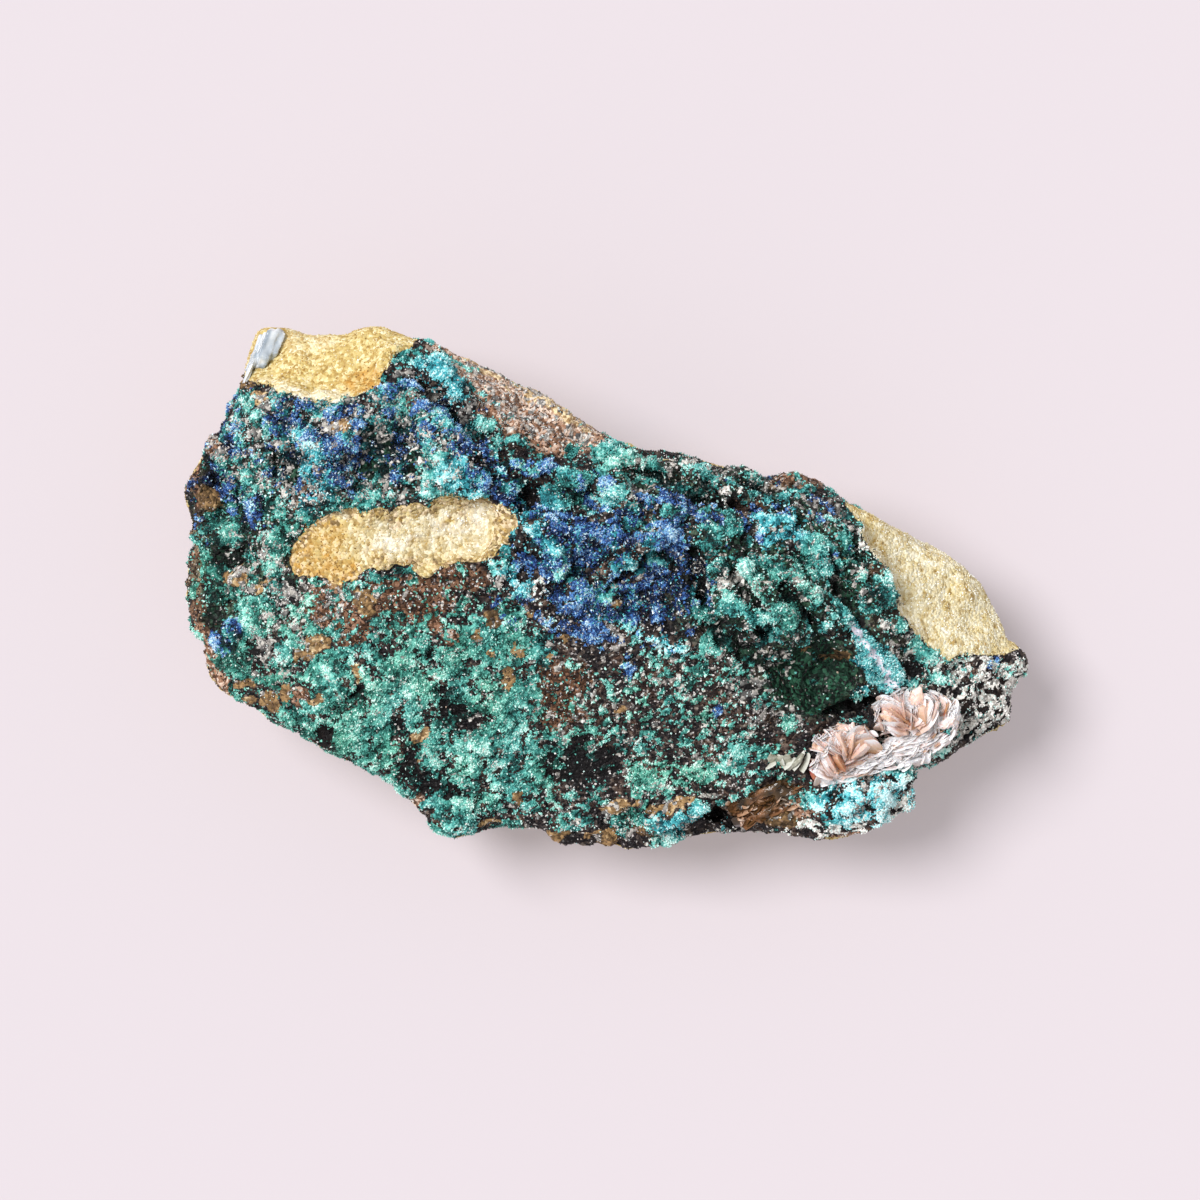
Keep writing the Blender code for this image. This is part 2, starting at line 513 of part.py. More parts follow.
def cut_socket(rock, crystal):
    """Cuts the place a crystal group sits in out of the rock, a gap wider than the group all round."""
    bm = bmesh.new()
    bm.from_mesh(crystal.data)
    hull = bmesh.ops.convex_hull(bm, input=bm.verts)
    inner = [g for g in (*hull["geom_interior"], *hull["geom_unused"]) if isinstance(g, bmesh.types.BMVert)]
    bmesh.ops.delete(bm, geom=inner, context="VERTS")
    bmesh.ops.delete(bm, geom=[v for v in bm.verts if not v.link_faces], context="VERTS")
    shell = set(hull["geom"])
    bmesh.ops.delete(bm, geom=[f for f in bm.faces if f not in shell], context="FACES_ONLY")
    bmesh.ops.recalc_face_normals(bm, faces=bm.faces)
    bm.normal_update()
    moved = [v.co + v.normal * CRYSTAL_GAP * v.calc_shell_factor() * MM for v in bm.verts]
    for vertex, place in zip(bm.verts, moved, strict=True):
        vertex.co = place
    cutter = object_from("socket of " + crystal.name, bm, crystal.data.materials[0])
    cut = rock.modifiers.new("Socket", "BOOLEAN")
    cut.operation = "DIFFERENCE"
    cut.solver = "EXACT"
    cut.object = cutter
    apply_modifiers(rock)
    bpy.data.objects.remove(cutter)
    keep_largest_body(rock)


def add_fan(bm, fan, chance):
    """Blades standing on edge, spread like an open fan from one apex."""
    x, y, z, first, last, count, length, height = fan
    for i in range(count):
        angle = math.radians(first + (last - first) * i / (count - 1) + chance.uniform(-3, 3))
        reach = length * chance.uniform(0.86, 1.08)
        rise = chance.uniform(0.5, 0.9) * length * 0.5
        tip = (x + reach * math.cos(angle), y + reach * math.sin(angle), z + rise)
        spread = abs(math.radians(last - first)) * length / (count - 1)
        thick = spread * chance.uniform(0.72, 0.98)
        lean = (chance.uniform(-0.2, 0.2), chance.uniform(-0.2, 0.2), 1.0)
        rings = [(0.0, height * 0.6, thick * 0.3), (0.82, height, thick), (1.0, height * 0.55, thick * 0.5)]
        add_tablet(bm, (x, y, z), tip, lean, rings)


def add_plates(bm, plates, turn, chance):
    """Plates standing on edge side by side: middle X, Y, Z, length, height and thickness of each."""
    for x, y, z, length, height, thickness in plates:
        angle = math.radians(turn + chance.uniform(-5, 5))
        half = Vector((math.cos(angle), math.sin(angle), chance.uniform(-0.1, 0.1))) * length / 2
        middle = Vector((x, y, z))
        lean = (chance.uniform(-0.15, 0.15), chance.uniform(-0.3, 0.1), 1.0)
        rings = [(0.0, height * 0.4, thickness * 0.4), (0.2, height, thickness), (0.8, height, thickness),
                 (1.0, height * 0.4, thickness * 0.4)]
        add_tablet(bm, middle - half, middle + half, lean, rings)


def make_pink_baryte(material):
    """Fans of pink blades over a bank of white plates, grown into one group on the lower right corner."""
    chance = random.Random(11)
    bm = bmesh.new()
    add_root(bm, (24.2, -16.6, 14.2), (4.4, 2.3, 3.0), math.radians(25))
    add_root(bm, (30.6, -13.9, 14.0), (4.6, 2.4, 3.0), math.radians(20))
    for fan in PINK_FANS:
        add_fan(bm, fan, chance)
    add_plates(bm, PINK_PLATES, 22.0, chance)
    return grown_together("pink_baryte", bm, material)


def make_brown_baryte(material):
    """A wedge of brown plates beside the pink group."""
    chance = random.Random(5)
    bm = bmesh.new()
    add_root(bm, (15.6, -21.2, 13.2), (3.4, 1.5, 2.0), math.radians(20))
    add_plates(bm, BROWN_PLATES, 24.0, chance)
    return grown_together("brown_baryte", bm, material)


def make_pale_plates(material):
    """A few thin grey-green plates leaning on each other."""
    bm = bmesh.new()
    add_root(bm, (17.4, -16.9, 16.6), (1.7, 0.7, 0.8), math.radians(-8))
    for foot, tip, across, width, thickness in PALE_PLATES:
        rings = [(0.0, width * 0.7, thickness), (0.6, width, thickness), (1.0, width * 0.35, thickness * 0.6)]
        add_tablet(bm, foot, tip, across, rings)
    return grown_together("pale_plates", bm, material)


def make_coated_blade(material):
    """A long spear-shaped blade, widest at its foot, lying on the crust."""
    bm = bmesh.new()
    for foot, tip, width, thickness in COATED_BLADE:
        rings = [(0.0, width * 0.75, thickness), (0.25, width, thickness), (0.6, width * 0.62, thickness * 0.8),
                 (1.0, 0.22, 0.35)]
        add_tablet(bm, foot, tip, (0.7, 0.6, 0.1), rings)
    return grown_together("coated_blade", bm, material)


def make_corner_crystal(material):
    """Clear grey prisms side by side, set in the top left corner of the block."""
    bm = bmesh.new()
    for foot, tip, height, thickness in CORNER_PRISMS:
        rings = [(0.0, height * 0.6, thickness * 0.6), (0.2, height, thickness), (0.85, height, thickness),
                 (1.0, height * 0.7, thickness * 0.5)]
        add_tablet(bm, foot, tip, (0.1, -0.1, 1.0), rings)
    return grown_together("corner_crystal", bm, material)


def main():
    clear_scene()
    rock = make_host_rock(finish_material("crusted sandstone", (0.10, 0.30, 0.27), 0.8))
    crystals = [
        make_pink_baryte(finish_material("pink baryte", (0.78, 0.42, 0.32), 0.35)),
        make_brown_baryte(finish_material("brown baryte", (0.28, 0.15, 0.08), 0.4)),
        make_pale_plates(finish_material("pale plates", (0.50, 0.54, 0.45), 0.4)),
        make_coated_blade(finish_material("coated blade", (0.45, 0.60, 0.65), 0.6)),
        make_corner_crystal(finish_material("grey crystal", (0.42, 0.46, 0.52), 0.15)),
    ]
    for crystal in crystals:
        cut_socket(rock, crystal)


main()
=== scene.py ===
import math

import bpy
import numpy as np
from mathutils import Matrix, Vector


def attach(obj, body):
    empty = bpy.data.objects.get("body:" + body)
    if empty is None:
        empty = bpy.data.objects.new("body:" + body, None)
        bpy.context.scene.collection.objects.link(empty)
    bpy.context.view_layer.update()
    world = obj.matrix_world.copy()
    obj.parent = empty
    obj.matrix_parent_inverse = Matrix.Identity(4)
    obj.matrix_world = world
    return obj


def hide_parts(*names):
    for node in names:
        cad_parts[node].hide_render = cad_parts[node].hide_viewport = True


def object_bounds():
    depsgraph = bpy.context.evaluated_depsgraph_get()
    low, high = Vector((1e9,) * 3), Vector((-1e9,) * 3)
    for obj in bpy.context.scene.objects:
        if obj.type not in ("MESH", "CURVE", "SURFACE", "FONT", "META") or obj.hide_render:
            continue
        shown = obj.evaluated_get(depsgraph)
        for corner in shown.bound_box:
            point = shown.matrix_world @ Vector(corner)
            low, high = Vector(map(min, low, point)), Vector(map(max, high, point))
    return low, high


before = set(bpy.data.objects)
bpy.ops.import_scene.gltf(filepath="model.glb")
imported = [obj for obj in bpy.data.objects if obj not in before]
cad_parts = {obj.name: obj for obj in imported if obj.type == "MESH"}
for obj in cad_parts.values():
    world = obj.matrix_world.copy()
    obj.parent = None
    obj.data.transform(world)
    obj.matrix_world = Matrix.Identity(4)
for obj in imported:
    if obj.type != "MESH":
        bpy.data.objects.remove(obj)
cad_box = [list(corner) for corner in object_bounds()]
bpy.ops.object.select_all(action="DESELECT")

# ---- The sandstone block and its crust ------------------------------------------------------------------
# A broken block of tan sandstone under a crust of iron oxide, green malachite and blue azurite. The crust
# grew on the stone in lumps and ridges, and three broken faces show the clean stone. All of it is one piece.
MM = 0.001
# The size of the block's faces before those that look up more than UPWARD are cut in four.
ROUGH_FACE = 0.58 * MM
UPWARD = 0.12
# How much the crystals' roots are swollen and sunk to fill their sockets.
SOCKET_FILL = 0.45 * MM
SOCKET_SINK = 1.3 * MM

# Broken faces of clean stone, as outlines seen from above in millimetres: two ends and a window.
BROKEN_FACES = [
    [(-34.9, 20.6), (-33.0, 19.9), (-31.5, 19.2), (-29.0, 18.6), (-26.0, 18.7), (-24.0, 19.3), (-22.4, 20.2),
     (-22.0, 21.5), (-21.3, 22.8), (-19.0, 24.4), (-18.0, 29.0), (-39.0, 29.0), (-39.0, 21.0)],
    [(23.3, 8.6), (24.5, 7.0), (25.0, 6.2), (25.3, 4.5), (27.3, 1.9), (28.5, -0.8), (28.4, -2.2),
     (31.7, -5.5), (33.4, -6.9), (35.8, -6.2), (38.1, -6.6), (40.3, -6.1), (41.6, -5.4), (43.5, -5.3),
     (43.5, 0.0), (37.0, 7.0), (24.0, 12.0)],
    [(-31.1, 3.0), (-29.9, 5.9), (-27.6, 7.9), (-24.5, 8.0), (-21.5, 7.4), (-18.9, 8.3), (-15.5, 9.2),
     (-12.2, 9.0), (-9.9, 8.2), (-8.7, 7.0), (-9.8, 5.1), (-11.1, 3.2), (-13.8, 2.7), (-16.2, 2.1),
     (-18.2, 1.4), (-20.5, 2.4), (-23.1, 2.5), (-24.5, 1.6), (-25.8, 0.2), (-27.9, 1.2), (-30.8, 1.5)],
]
WINDOW = BROKEN_FACES[2]
# How far each face's edge wanders.
EDGE_WANDER = (0.55, 0.55, 1.0)
# On the steep sides the edges wander more, by SIDE_WANDER. A side is what lies under the top of its column of
# the block, from the first of these depths and wholly from the second. A column is COLUMN wide.
SIDE_WANDER = 3.4
SIDE_DEPTHS = (1.5, 6.0)
COLUMN = 1.5

# Where each mineral lies, seen from above in millimetres: centre X and Y, half length, half width, how light
# it is there, mostly from 0 to 1, and its turn in degrees. What is left out at the end of a row is 0.
AZURITE_PATCHES = [
    (-30, 18, 2.2, .9, .4), (-27, 17.5, 3.5, .9, .8), (-21.5, 19, 2.8, .9, .6, 10),
    (-16.8, 17, 1.6, 1.2, .6, -35), (-14.5, 14.5, 2.2, 1.4, .5, -45), (-18.8, 14.8, 2, .8, .5),
    (-31.2, 16.8, 2, 1.2, .5), (-36.3, 15.7, .6, .8, .5), (-35.7, 12.4, .5, .7, .4),
    (-32.5, 11.6, .9, .5, .5), (-35, 8, 1.2, 2.2, .3), (-34, 6.3, 1.3, 1, .4), (-26, 13.5, 1.8, 1.6, .35),
    (-25.5, 11.5, 1.6, 1.2, .3), (-24.2, 9.6, 1.2, .5, .5), (-41, 9.5, 1, 1.3, .05),
    (-37.5, 14.3, .8, .7, .3), (-37.2, -3.8, 1.2, 1, .6), (-38.2, -4.9, 1, 1, .9),
    (-6.5, 11.8, 3, .7, .8, -12), (-3, 10.8, 1.5, .4, .5), (-10.5, 10, 2.4, 1.6, .2, -30),
    (-1, 6.8, 4.5, 1, .6), (-4, 5.5, 2.5, 1, .5), (1.2, 5, 2, .8, .6), (-2.4, 2.9, 2.3, 1.5, .25),
    (2.2, 3.9, 2, .5, .6, 40), (5.5, 5, 1.8, .7, .6), (4.6, .9, 3.4, 2, .2), (7.8, 2.6, .4, 1.2, .5),
    (-3.5, -.5, 3, 1, .5), (0, -2.3, 3.4, 1.3, .3), (-8.3, 3, .9, 1.1, .6), (-5.7, 2.9, .4, .5, .5),
    (5.5, 8.6, 1.5, .8, .6), (9.6, 8, 1, .4, .8), (6.1, -4.7, 1.6, .35, .95, -32),
    (2.1, -6.9, 1.1, .5, .6, 60), (10.8, -11.8, .6, .5, .7), (-1.3, -4.7, 1, .5, .4),
    (4.2, -5.3, .5, .4, .6), (-1.4, -7.4, .3, .3, .6), (21.1, 6.9, .6, .7, .2), (14.8, 4.2, .8, .6, .6),
    (38.1, -7.5, .5, .5, .6), (-23.5, 16.6, 2.4, 1, .3, 10), (-33.8, 14.5, 1.4, 1.1, .2),
    (-28.6, 14.9, 1.6, .8, .3), (2.5, 7.2, 2.2, .7, .35, -10), (-6.2, 7.4, 1.4, .8, .4),
    (7.2, 6.8, 1.2, .8, .5), (2.6, -1.4, 2.6, 1, .25), (-12.2, 11.6, 1.2, 1.4, .2, -30),
    (-38.6, 11, 1.2, 1.6, .1),
]
MALACHITE_PATCHES = [
    (-19, 22.8, 2.5, 1.2, .6, -15), (-16.4, 21.5, 2.2, .9, .6, -40), (-14.2, 19.6, 1.7, 1.2, .7, -50),
    (-31.7, 14.6, .6, 1.2, .7), (-29, 14, .7, 2.4, .8, 30), (-33.7, 12, 1.6, .9, .4),
    (-34.5, 10.6, 2, 1, .4), (-33, 8, 1.6, .8, .9), (-30.6, 7.5, 1.6, .9, .6), (-37, 5.2, 1.2, 1.2, .5),
    (-27, 9.4, 1.6, 1.4, .6), (-22, 8.9, 1.6, .6, .7, -25), (-16.2, 11.8, 1.9, 1.8, .85),
    (-13.5, 11.2, 1.6, 1.4, .75), (-35, 17.5, 1, 1.2, .9), (-32.5, 5, 1.2, 1.4, .6),
    (-32.8, 1.4, .7, 1.6, .6), (-34.5, -2.2, 2.8, 1.2, .6), (-40.5, 1.5, 1.2, 3, .35),
    (-38.5, 6.5, 1.6, 1.2, .2), (-38.5, 0, 2, 1.5, .2), (-22.8, 16, 1.5, 1, .5),
    (-11.4, 15.6, 2.2, .8, .7, -40), (-7.8, 14.8, 1.6, .7, .6), (-4.6, 8.8, 2.6, .9, .6, 10),
    (.5, 9.6, 1.4, .9, .7), (.6, 13.4, 2.2, 1.1, .85), (8, 12.3, 1.4, .8, .6), (9.2, 10.8, 1.4, .7, .6),
    (3.5, 11.3, 2.5, .6, .45), (1.3, 3, 1.6, .6, .7, 40), (3.6, 5, 1, .6, .7), (-7, 5.4, .5, 1.3, .7),
    (-5.2, 3.6, .35, 1.6, .9), (-10.4, 1.7, 1.5, .6, .7, -35), (-8.5, .2, 1, .5, .7),
    (10, 5.6, 1.7, 1.4, .5), (9.2, 4, 1.2, .6, .6), (14, 1.5, 1.8, .5, .8, -50), (6.6, 7.4, .6, 1.1, .8),
    (9, -2.5, 1.2, 1.4, .6), (12.2, -2.5, 1.8, 1.2, .6), (10, -5.2, 1.4, 1.2, .6), (15.5, 6.5, 1, 1, .7),
    (16.8, 6, 2, 1.3, .9), (15.4, 7, .8, .8, .8), (18.2, 7.6, .5, 1, .7), (16.5, 9.8, 1.2, .5, .5),
    (14.5, 9.8, 1, .8, .3), (20, 4.4, 1.3, .8, .6), (22.8, 5.4, 1.3, .5, .6), (15.2, 2.8, .5, 1, .6),
    (16.4, 1.2, .8, 1, .6), (19.1, .1, 2.1, .6, .7, -56), (17.5, -3.1, 2.3, .6, .45, -52),
    (21.9, -2.6, 1.2, .8, .8), (21, 2.2, 1.8, 1.5, .45), (24.9, -.9, .5, .7, .8), (26, .3, 1.2, .5, .4),
    (27.4, 1, .3, 1.5, .95), (25.5, -.5, 1.6, 1.4, .4), (14, -2.6, 1.2, 1.2, .6), (15.8, -4.5, .8, .8, .5),
    (24.9, -10.2, 1, .7, .9), (31.4, -6.6, .9, .8, .7), (33.3, -8.8, 1.3, .5, .8),
    (37.2, -12.6, .8, .7, .7), (17.8, -13.3, .9, .9, .6), (15.5, -10.8, 1.2, .6, .5),
    (-37, -5.5, 2, 2.2, .3), (-35, -2.5, 3, 1, .6), (-36.5, -7.5, 1.2, 1, .5), (-32, -6.5, .8, .8, .6),
    (-33.8, -8.6, 1, .8, .6), (-27, -8.5, 2.2, 2, .65), (-29, -7.3, 1.2, .6, .6),
    (-26.8, -10.8, 1.2, 1, .6), (-23.2, -6.2, .6, 1.4, .85), (-22.5, -9.5, 2, 2, .6),
    (-20.5, -7, 2, 1.5, .6), (-19.5, -9.5, 2, 1.5, .6), (-22.5, -11.5, 1.6, 1.5, .6),
    (-19, -11.5, 1.5, 1.5, .6), (-16.8, -12.5, .7, 1.8, .6), (-15.5, -8.2, 2.2, .9, .65),
    (-17, -15.5, 1.6, 2.5, .5), (-14.5, -16.5, 2.5, 2, .7), (-25, -14.3, 1.8, 1.5, .55),
    (-23.5, -17, 2.2, 1.2, .5), (-29.5, -13.5, 1, 1, .5), (-18.2, -20.8, .6, 1, .5),
    (-15.5, -22.8, 2, 1.5, .85), (-15.3, -3.5, 1.2, .8, .6), (-11, -5, 4, 2.5, .6), (-12, -8, 4, 1, .65),
    (-8.2, -9.2, 1.5, 1, .65), (-7.2, -5.5, .8, 1.2, .6), (-9, -2.2, .8, .8, .6), (-9.8, -11.5, 1.2, 2, .6),
    (-13.5, -16.5, 3, 1.8, .8), (-9.5, -19, 1.2, 1.2, .6), (-7, -17, 1.5, 1, .55), (-12, -13, 3, 2, .6),
    (-3, -14, 1, .6, .6), (4.5, -18.5, 2.5, 1.5, .45), (9, -17.8, 1.6, 1, .6), (12.3, -15, .5, .7, .7),
    (-3.5, -23, 2, .8, .5), (2, -23, 2, 1.2, .4), (7, -22.6, 3, .7, .85, 25), (9, -21.4, 1, .5, .7),
    (5, -22.9, .8, .7, .7), (5.5, -24.5, 1.5, .5, 1), (12.5, -17, 1.5, 1.5, .4), (26, -21, 4.5, 2.2, 1.4),
    (32.5, -16.2, 1.5, .5, 1.3, 25), (-5.5, 9.6, 3, .5, .7, 8), (24.2, 3, .9, 1.2, .45),
    (19, 2.8, 1, 1.4, .5), (12.2, 6.2, 1.2, 1, .4),
]
RUST_PATCHES = [
    (-8, 16.5, 4.5, 1.5, .6, -32), (-4, 15.5, 2.4, 1, .9, -35), (-11, 18, 1.6, 1, .6),
    (-27.5, -1.8, 1.6, 1.8, .32), (-25, -3, 1.6, 1.6, .28), (-25.2, -4.9, 1, .6, .2),
    (-22, -.5, 1.5, 1.6, .1), (-19, -.8, 3.4, 1.8, .1), (-14.4, 1.2, 2.4, 1, .1), (-17, -3.2, .6, .8, .5),
    (-15.5, -4.8, .8, .8, .5), (-30.3, -10.3, .7, 1, .5), (13.7, 8, 1.6, .7, .5), (25.8, 2, .9, .5, .5),
    (19, 11, 2.8, .6, .5), (-4.5, -9, 2.6, 1.6, .08), (-5, -12, 2, 1.2, .05), (38.5, -11.5, 3, 2.4, .02),
    (23.5, -24.5, 2.4, .4, .5, 8), (-39, 14.5, .8, 1.5, .5, 50), (-41.2, 6.5, .6, 1.6, .5),
    (-40.7, 9.4, .9, 3.4, .3, 10), (-40.9, 2.6, .6, 2.6, .35), (-40.2, -3.2, .5, 2, .35, 20),
    (-13, 21.6, 4.4, 1.1, 1, -33), (-8.6, 19, 3.4, 1, 1, -33), (-3.4, 16.2, 3, .8, 1, -33),
    (-39.7, -6.3, .8, 1.5, .6), (-38.5, -9.3, 1.5, .6, .6, -40), (-19.3, -20.6, .8, .5, .8),
    (24.2, -24.3, .9, .3, .8), (16, -22, 3.5, 1.2, .5), (-30, 10, .5, 1.6, .5, -20),
]
OCHRE_PATCHES = [
    (-26, 15.7, .8, .7, .7), (-28.8, -5.1, 1.4, .9, .7), (-30.2, -6.1, .8, .5, .6),
    (-23.8, -.8, 1, 1.2, .5), (-26.5, .4, 1, .6, .5), (-33.4, -11, 1, .9, .5), (-32, -10, .6, .8, .6),
    (-28.5, -10.8, .8, .5, .6), (-36.1, -9.1, .9, .6, .6), (-35.9, -11, .8, .3, .6),
    (-24.6, -8.3, .5, .8, .8), (-18.8, -14.3, 1.1, .4, .7, 45), (-18.5, -16.8, .4, .4, .6),
    (-13, -4.2, .5, .5, .6), (-11.5, -6, .4, .4, .6), (-8.9, -5.7, .4, .4, .6), (-8, -2, .4, .5, .6),
    (-11.2, -2.8, .8, .8, .2), (-4.3, -4.4, .35, .6, .6), (-5.8, -6.4, .3, .5, .6),
    (-10, -9.1, .45, 1.1, .7), (.9, -1.1, .55, .55, .9), (-9, -20.6, .4, .6, .6),
    (1.3, -21.3, 1.8, .5, .7, 10), (6.3, -21.2, 2, .5, .7, 20), (3.5, -24, 1, .6, .2),
    (-5, -24.4, 1, .7, .6), (-1, -24.5, 1.5, .4, .6), (-.2, -25, .9, .5, .5), (-12, -23.2, 1.2, .4, .9),
    (22.6, -6.4, .8, .5, .1), (19.6, -5.8, .4, .3, .6), (-36.5, 1.5, 1.3, 1, .7),
    (-34.4, .3, 1, .5, .6, 45), (-39.5, 9, .9, 1.2, .3), (-35.9, 20.4, .8, .8, .3), (1, -11.7, .6, .6, .3),
    (17, -22.8, 1.8, .9, .3), (-6.5, 20, 3, .5, .6, -36), (-14, 23.6, 3.4, .5, .7, -32),
    (-.5, 15.6, 1.6, .4, .5, -30), (-34.2, 18.9, .9, .5, .9), (-5.6, 18.3, 5, .55, 1.2, -30),
    (-.6, 15.7, 2, .5, 1.1, -28), (-12.6, 22.4, 3.4, .5, 1.1, -32),
]
PALE_PATCHES = [
    (21, 7.8, 3, 1.6, .2, -30), (25.2, 4.9, .4, 1.2, .9), (11.3, .9, 1.6, 1.2, .7), (3, 9.6, 1.2, .8, .5),
    (11.8, 9.7, 1.4, .6, .7), (11, 11.8, 1.6, .8, .1), (1, -5.1, 1.2, 1, .4), (13.5, -9, 2, .9, .3),
    (-27.6, 15.9, 1.4, .9, .6), (-18.8, 13, 1, .9, .6), (-16.8, 19.2, 1.3, 1, .4),
    (-14.2, 17.3, .9, .8, .1), (-20.2, 20.8, 1.4, .5, .4), (-33.6, 3.2, 1.2, .8, .6), (-31, -1, .8, .9, .6),
    (-30.6, -3, .6, .6, .7), (-34, -5.2, 1.6, 1.3, .5), (29.6, -4.5, 1.2, .9, .2), (15, -12, 1, 1.5, .3),
    (-6.7, .3, .5, 1.2, 1), (.3, -9.6, .6, .2, 1), (9, -15.6, .6, .3, 1), (7, -2.7, .4, .4, 1),
    (-30.8, 5.6, .6, .6, 1), (37.6, -10.8, 4.8, 4.4, .82), (20, -23.6, 2.5, .4, 1),
    (30.9, -20.2, .6, 2, 1, -10), (23.6, -23.9, 2.6, .35, 1, 8), (28.6, -22.4, 1.4, .4, 1, 28),
    (24.5, -23.2, 1.2, .5, .9), (27.8, -21.8, 1.6, .8, .8, 20), (-15, -23.7, .7, .5, 1),
    (-11.8, -17.3, .8, .5, 1), (30.6, -18.6, .6, 1.2, .8), (36.4, -14.9, 1.6, .5, .8, 15),
    (28, -3.6, 1.2, .5, .7, -40), (24.5, 1.6, .6, 2.6, .55, 12), (37.4, -7.3, 4.2, .5, .9),
]
# Where the malachite turns to blue teal or to leaf green, where the azurite is thickest, and where dark
# ground is dotted with finer clumps of malachite.
CYAN_PATCHES = [
    (26, -21, 5, 3), (-7, 6, 3, 4), (2, 3.4, 3, 1.2, 0, 40), (-8.5, .4, 2.4, 1.2, 0, -35),
    (16.5, 6.4, 3, 2), (5.5, -5, 2.2, .8, 0, -30), (-16.5, 20, 3, 2, 0, -40), (-29, 12, 3, 3.4),
    (26.6, -7.6, 3, 2.4), (-13.4, 11.4, 3, 2), (8, -22.6, 4, 1.6),
]
LEAFY_GROUND = [(-24, -9, 17, 11, 0, -8), (4, -14, 14, 9), (-38, 1, 7, 12)]
BLUE_GROUND = [(1, 3, 7.5, 6)]
FINE_GROUND = [
    (5, -11.5, 10, 8), (12, -15, 6, 5), (37.5, -10.5, 5.5, 5), (-20, -1, 9, 3.2),
]
# Where green has stained the dark ground between the clumps.
GREEN_STAINS = [
    (17, 2, 10, 8, 1), (20, -8, 5, 4, 1), (-21, 13, 5, 3, .8), (-36, 4, 5, 8, .85), (8, 11, 8, 3, .7),
    (-28, 11, 8, 5, .5), (27, -7, 4, 4, .6),
]
# Ground colour under the minerals: dark oxide with a purple cast, and painted shade, dark green in the
# hollows and near black in the creases.
DARK_PATCHES = [
    (-21.5, 13, 3, 2.4, .8), (-31, 12.8, 1.2, 1.8, .8), (20.1, -8.5, 3.6, 3.4, 1),
    (-19.3, 16.2, 1.2, 1, .5), (-3, -17, 3.5, 2, 0), (-16.2, -9.8, .8, .6, 0), (-17.5, -6.8, .5, .8, 0),
    (-14.5, -12, 2, 2, 0), (-19.5, -16, 1, 1, 0), (-20, -18, 1.2, 1, 0), (-17, -19.5, 2, 1.2, 0),
    (-28, -14.5, 1, 1, 0), (-21.3, -13.4, 1, .9, 0), (-39.3, -2.8, .8, .8, .4), (23.2, 3.1, .8, .8, .4),
    (23.3, -.8, .8, 1.2, .5), (30, -7.6, 1, .8, 0), (34.8, -13.9, 1, 1.2, 0), (11.5, -22.6, 2, .8, 0),
    (24, -11.5, 2, .5, 0, 5), (12, -3.3, 2.4, .4, .3, -20), (13, -6.2, 3.4, .5, .5, -28),
    (18.5, 6.6, .4, .9, .5), (12.6, 8.6, 2.2, .5, 0, -12), (8.8, .9, 1, 2.4, 0, 12),
    (-12.4, 12.6, .6, 2.6, 0, 48), (-7.6, 8.6, 1.2, 1.6, 0, 30), (-37.6, 3.4, 1.4, .9, .2),
    (-24.7, -10.3, .6, .9, 0), (22.6, 1.4, .9, 1.2, .6), (12.8, 4.2, .8, 1.4, .5), (6.6, 1.2, 1.2, 1.4, 0),
    (37.8, -11.9, 4.2, 3.2, 0), (-40.4, 12.6, 1, 3, .3, 25), (-41.6, 8, .9, 1.8, .2),
    (-38.2, 16.6, .6, 1.6, .2, -25), (30.6, -19.4, .7, 1.5, .2, -10), (28.4, -18.4, 1.4, .4, 0, 20),
    (25.4, -21.6, .4, .9, .3), (22.4, -20.4, .8, .9, .2),
]
# Amber places on the clean stone, which are low in lightness, and bleached ones, which are high. The broad
# patch over the right end face is painted light, paling a face that turns from the lamp.
SAND_PATCHES = [
    (-28.7, 4.1, 3, 3.2, .2), (-26.2, 1.6, 1.6, 1.2, .1), (-23.6, 20.6, 2.2, 1, .05, 10),
    (-21, 4.5, 2.4, .6, 2.2, 15), (-13.9, 6.9, 2.8, .9, 2.3, 15), (-26.2, 7.5, 1, .4, 1, -30),
    (-10.9, 6.8, 1, 1.8, .25, 20), (-16, 5.6, 5, 1.4, .9, 10), (-13, 7.6, 2.4, .9, 1, 10),
    (-19.5, 4.2, 2.2, .8, .8, 10), (-31.5, 19.6, 2.5, .5, .9, -20), (-27, 19, 3, .4, .9),
    (-30, 24.6, 3, .8, .65), (25.6, 4.6, .5, 2.4, .9, 20), (28.6, -1.6, .5, 2.4, .9, 10),
    (35, -5.8, 5, .6, .8), (32.5, .5, 9, 6, .86, -35), (-24.2, 6.2, 1.6, .8, .6, 20),
    (-17.4, 5.4, 7, 2.4, .85, 8),
]
# Ground where the crust is only a thin dotted coat.
CALM_GROUND = [
    (-14, -12, 17, 9, 0, -8), (3, -13, 14, 8), (-24, -6, 8, 6), (12, -16, 6, 4), (38, -9.5, 4, 4),
]
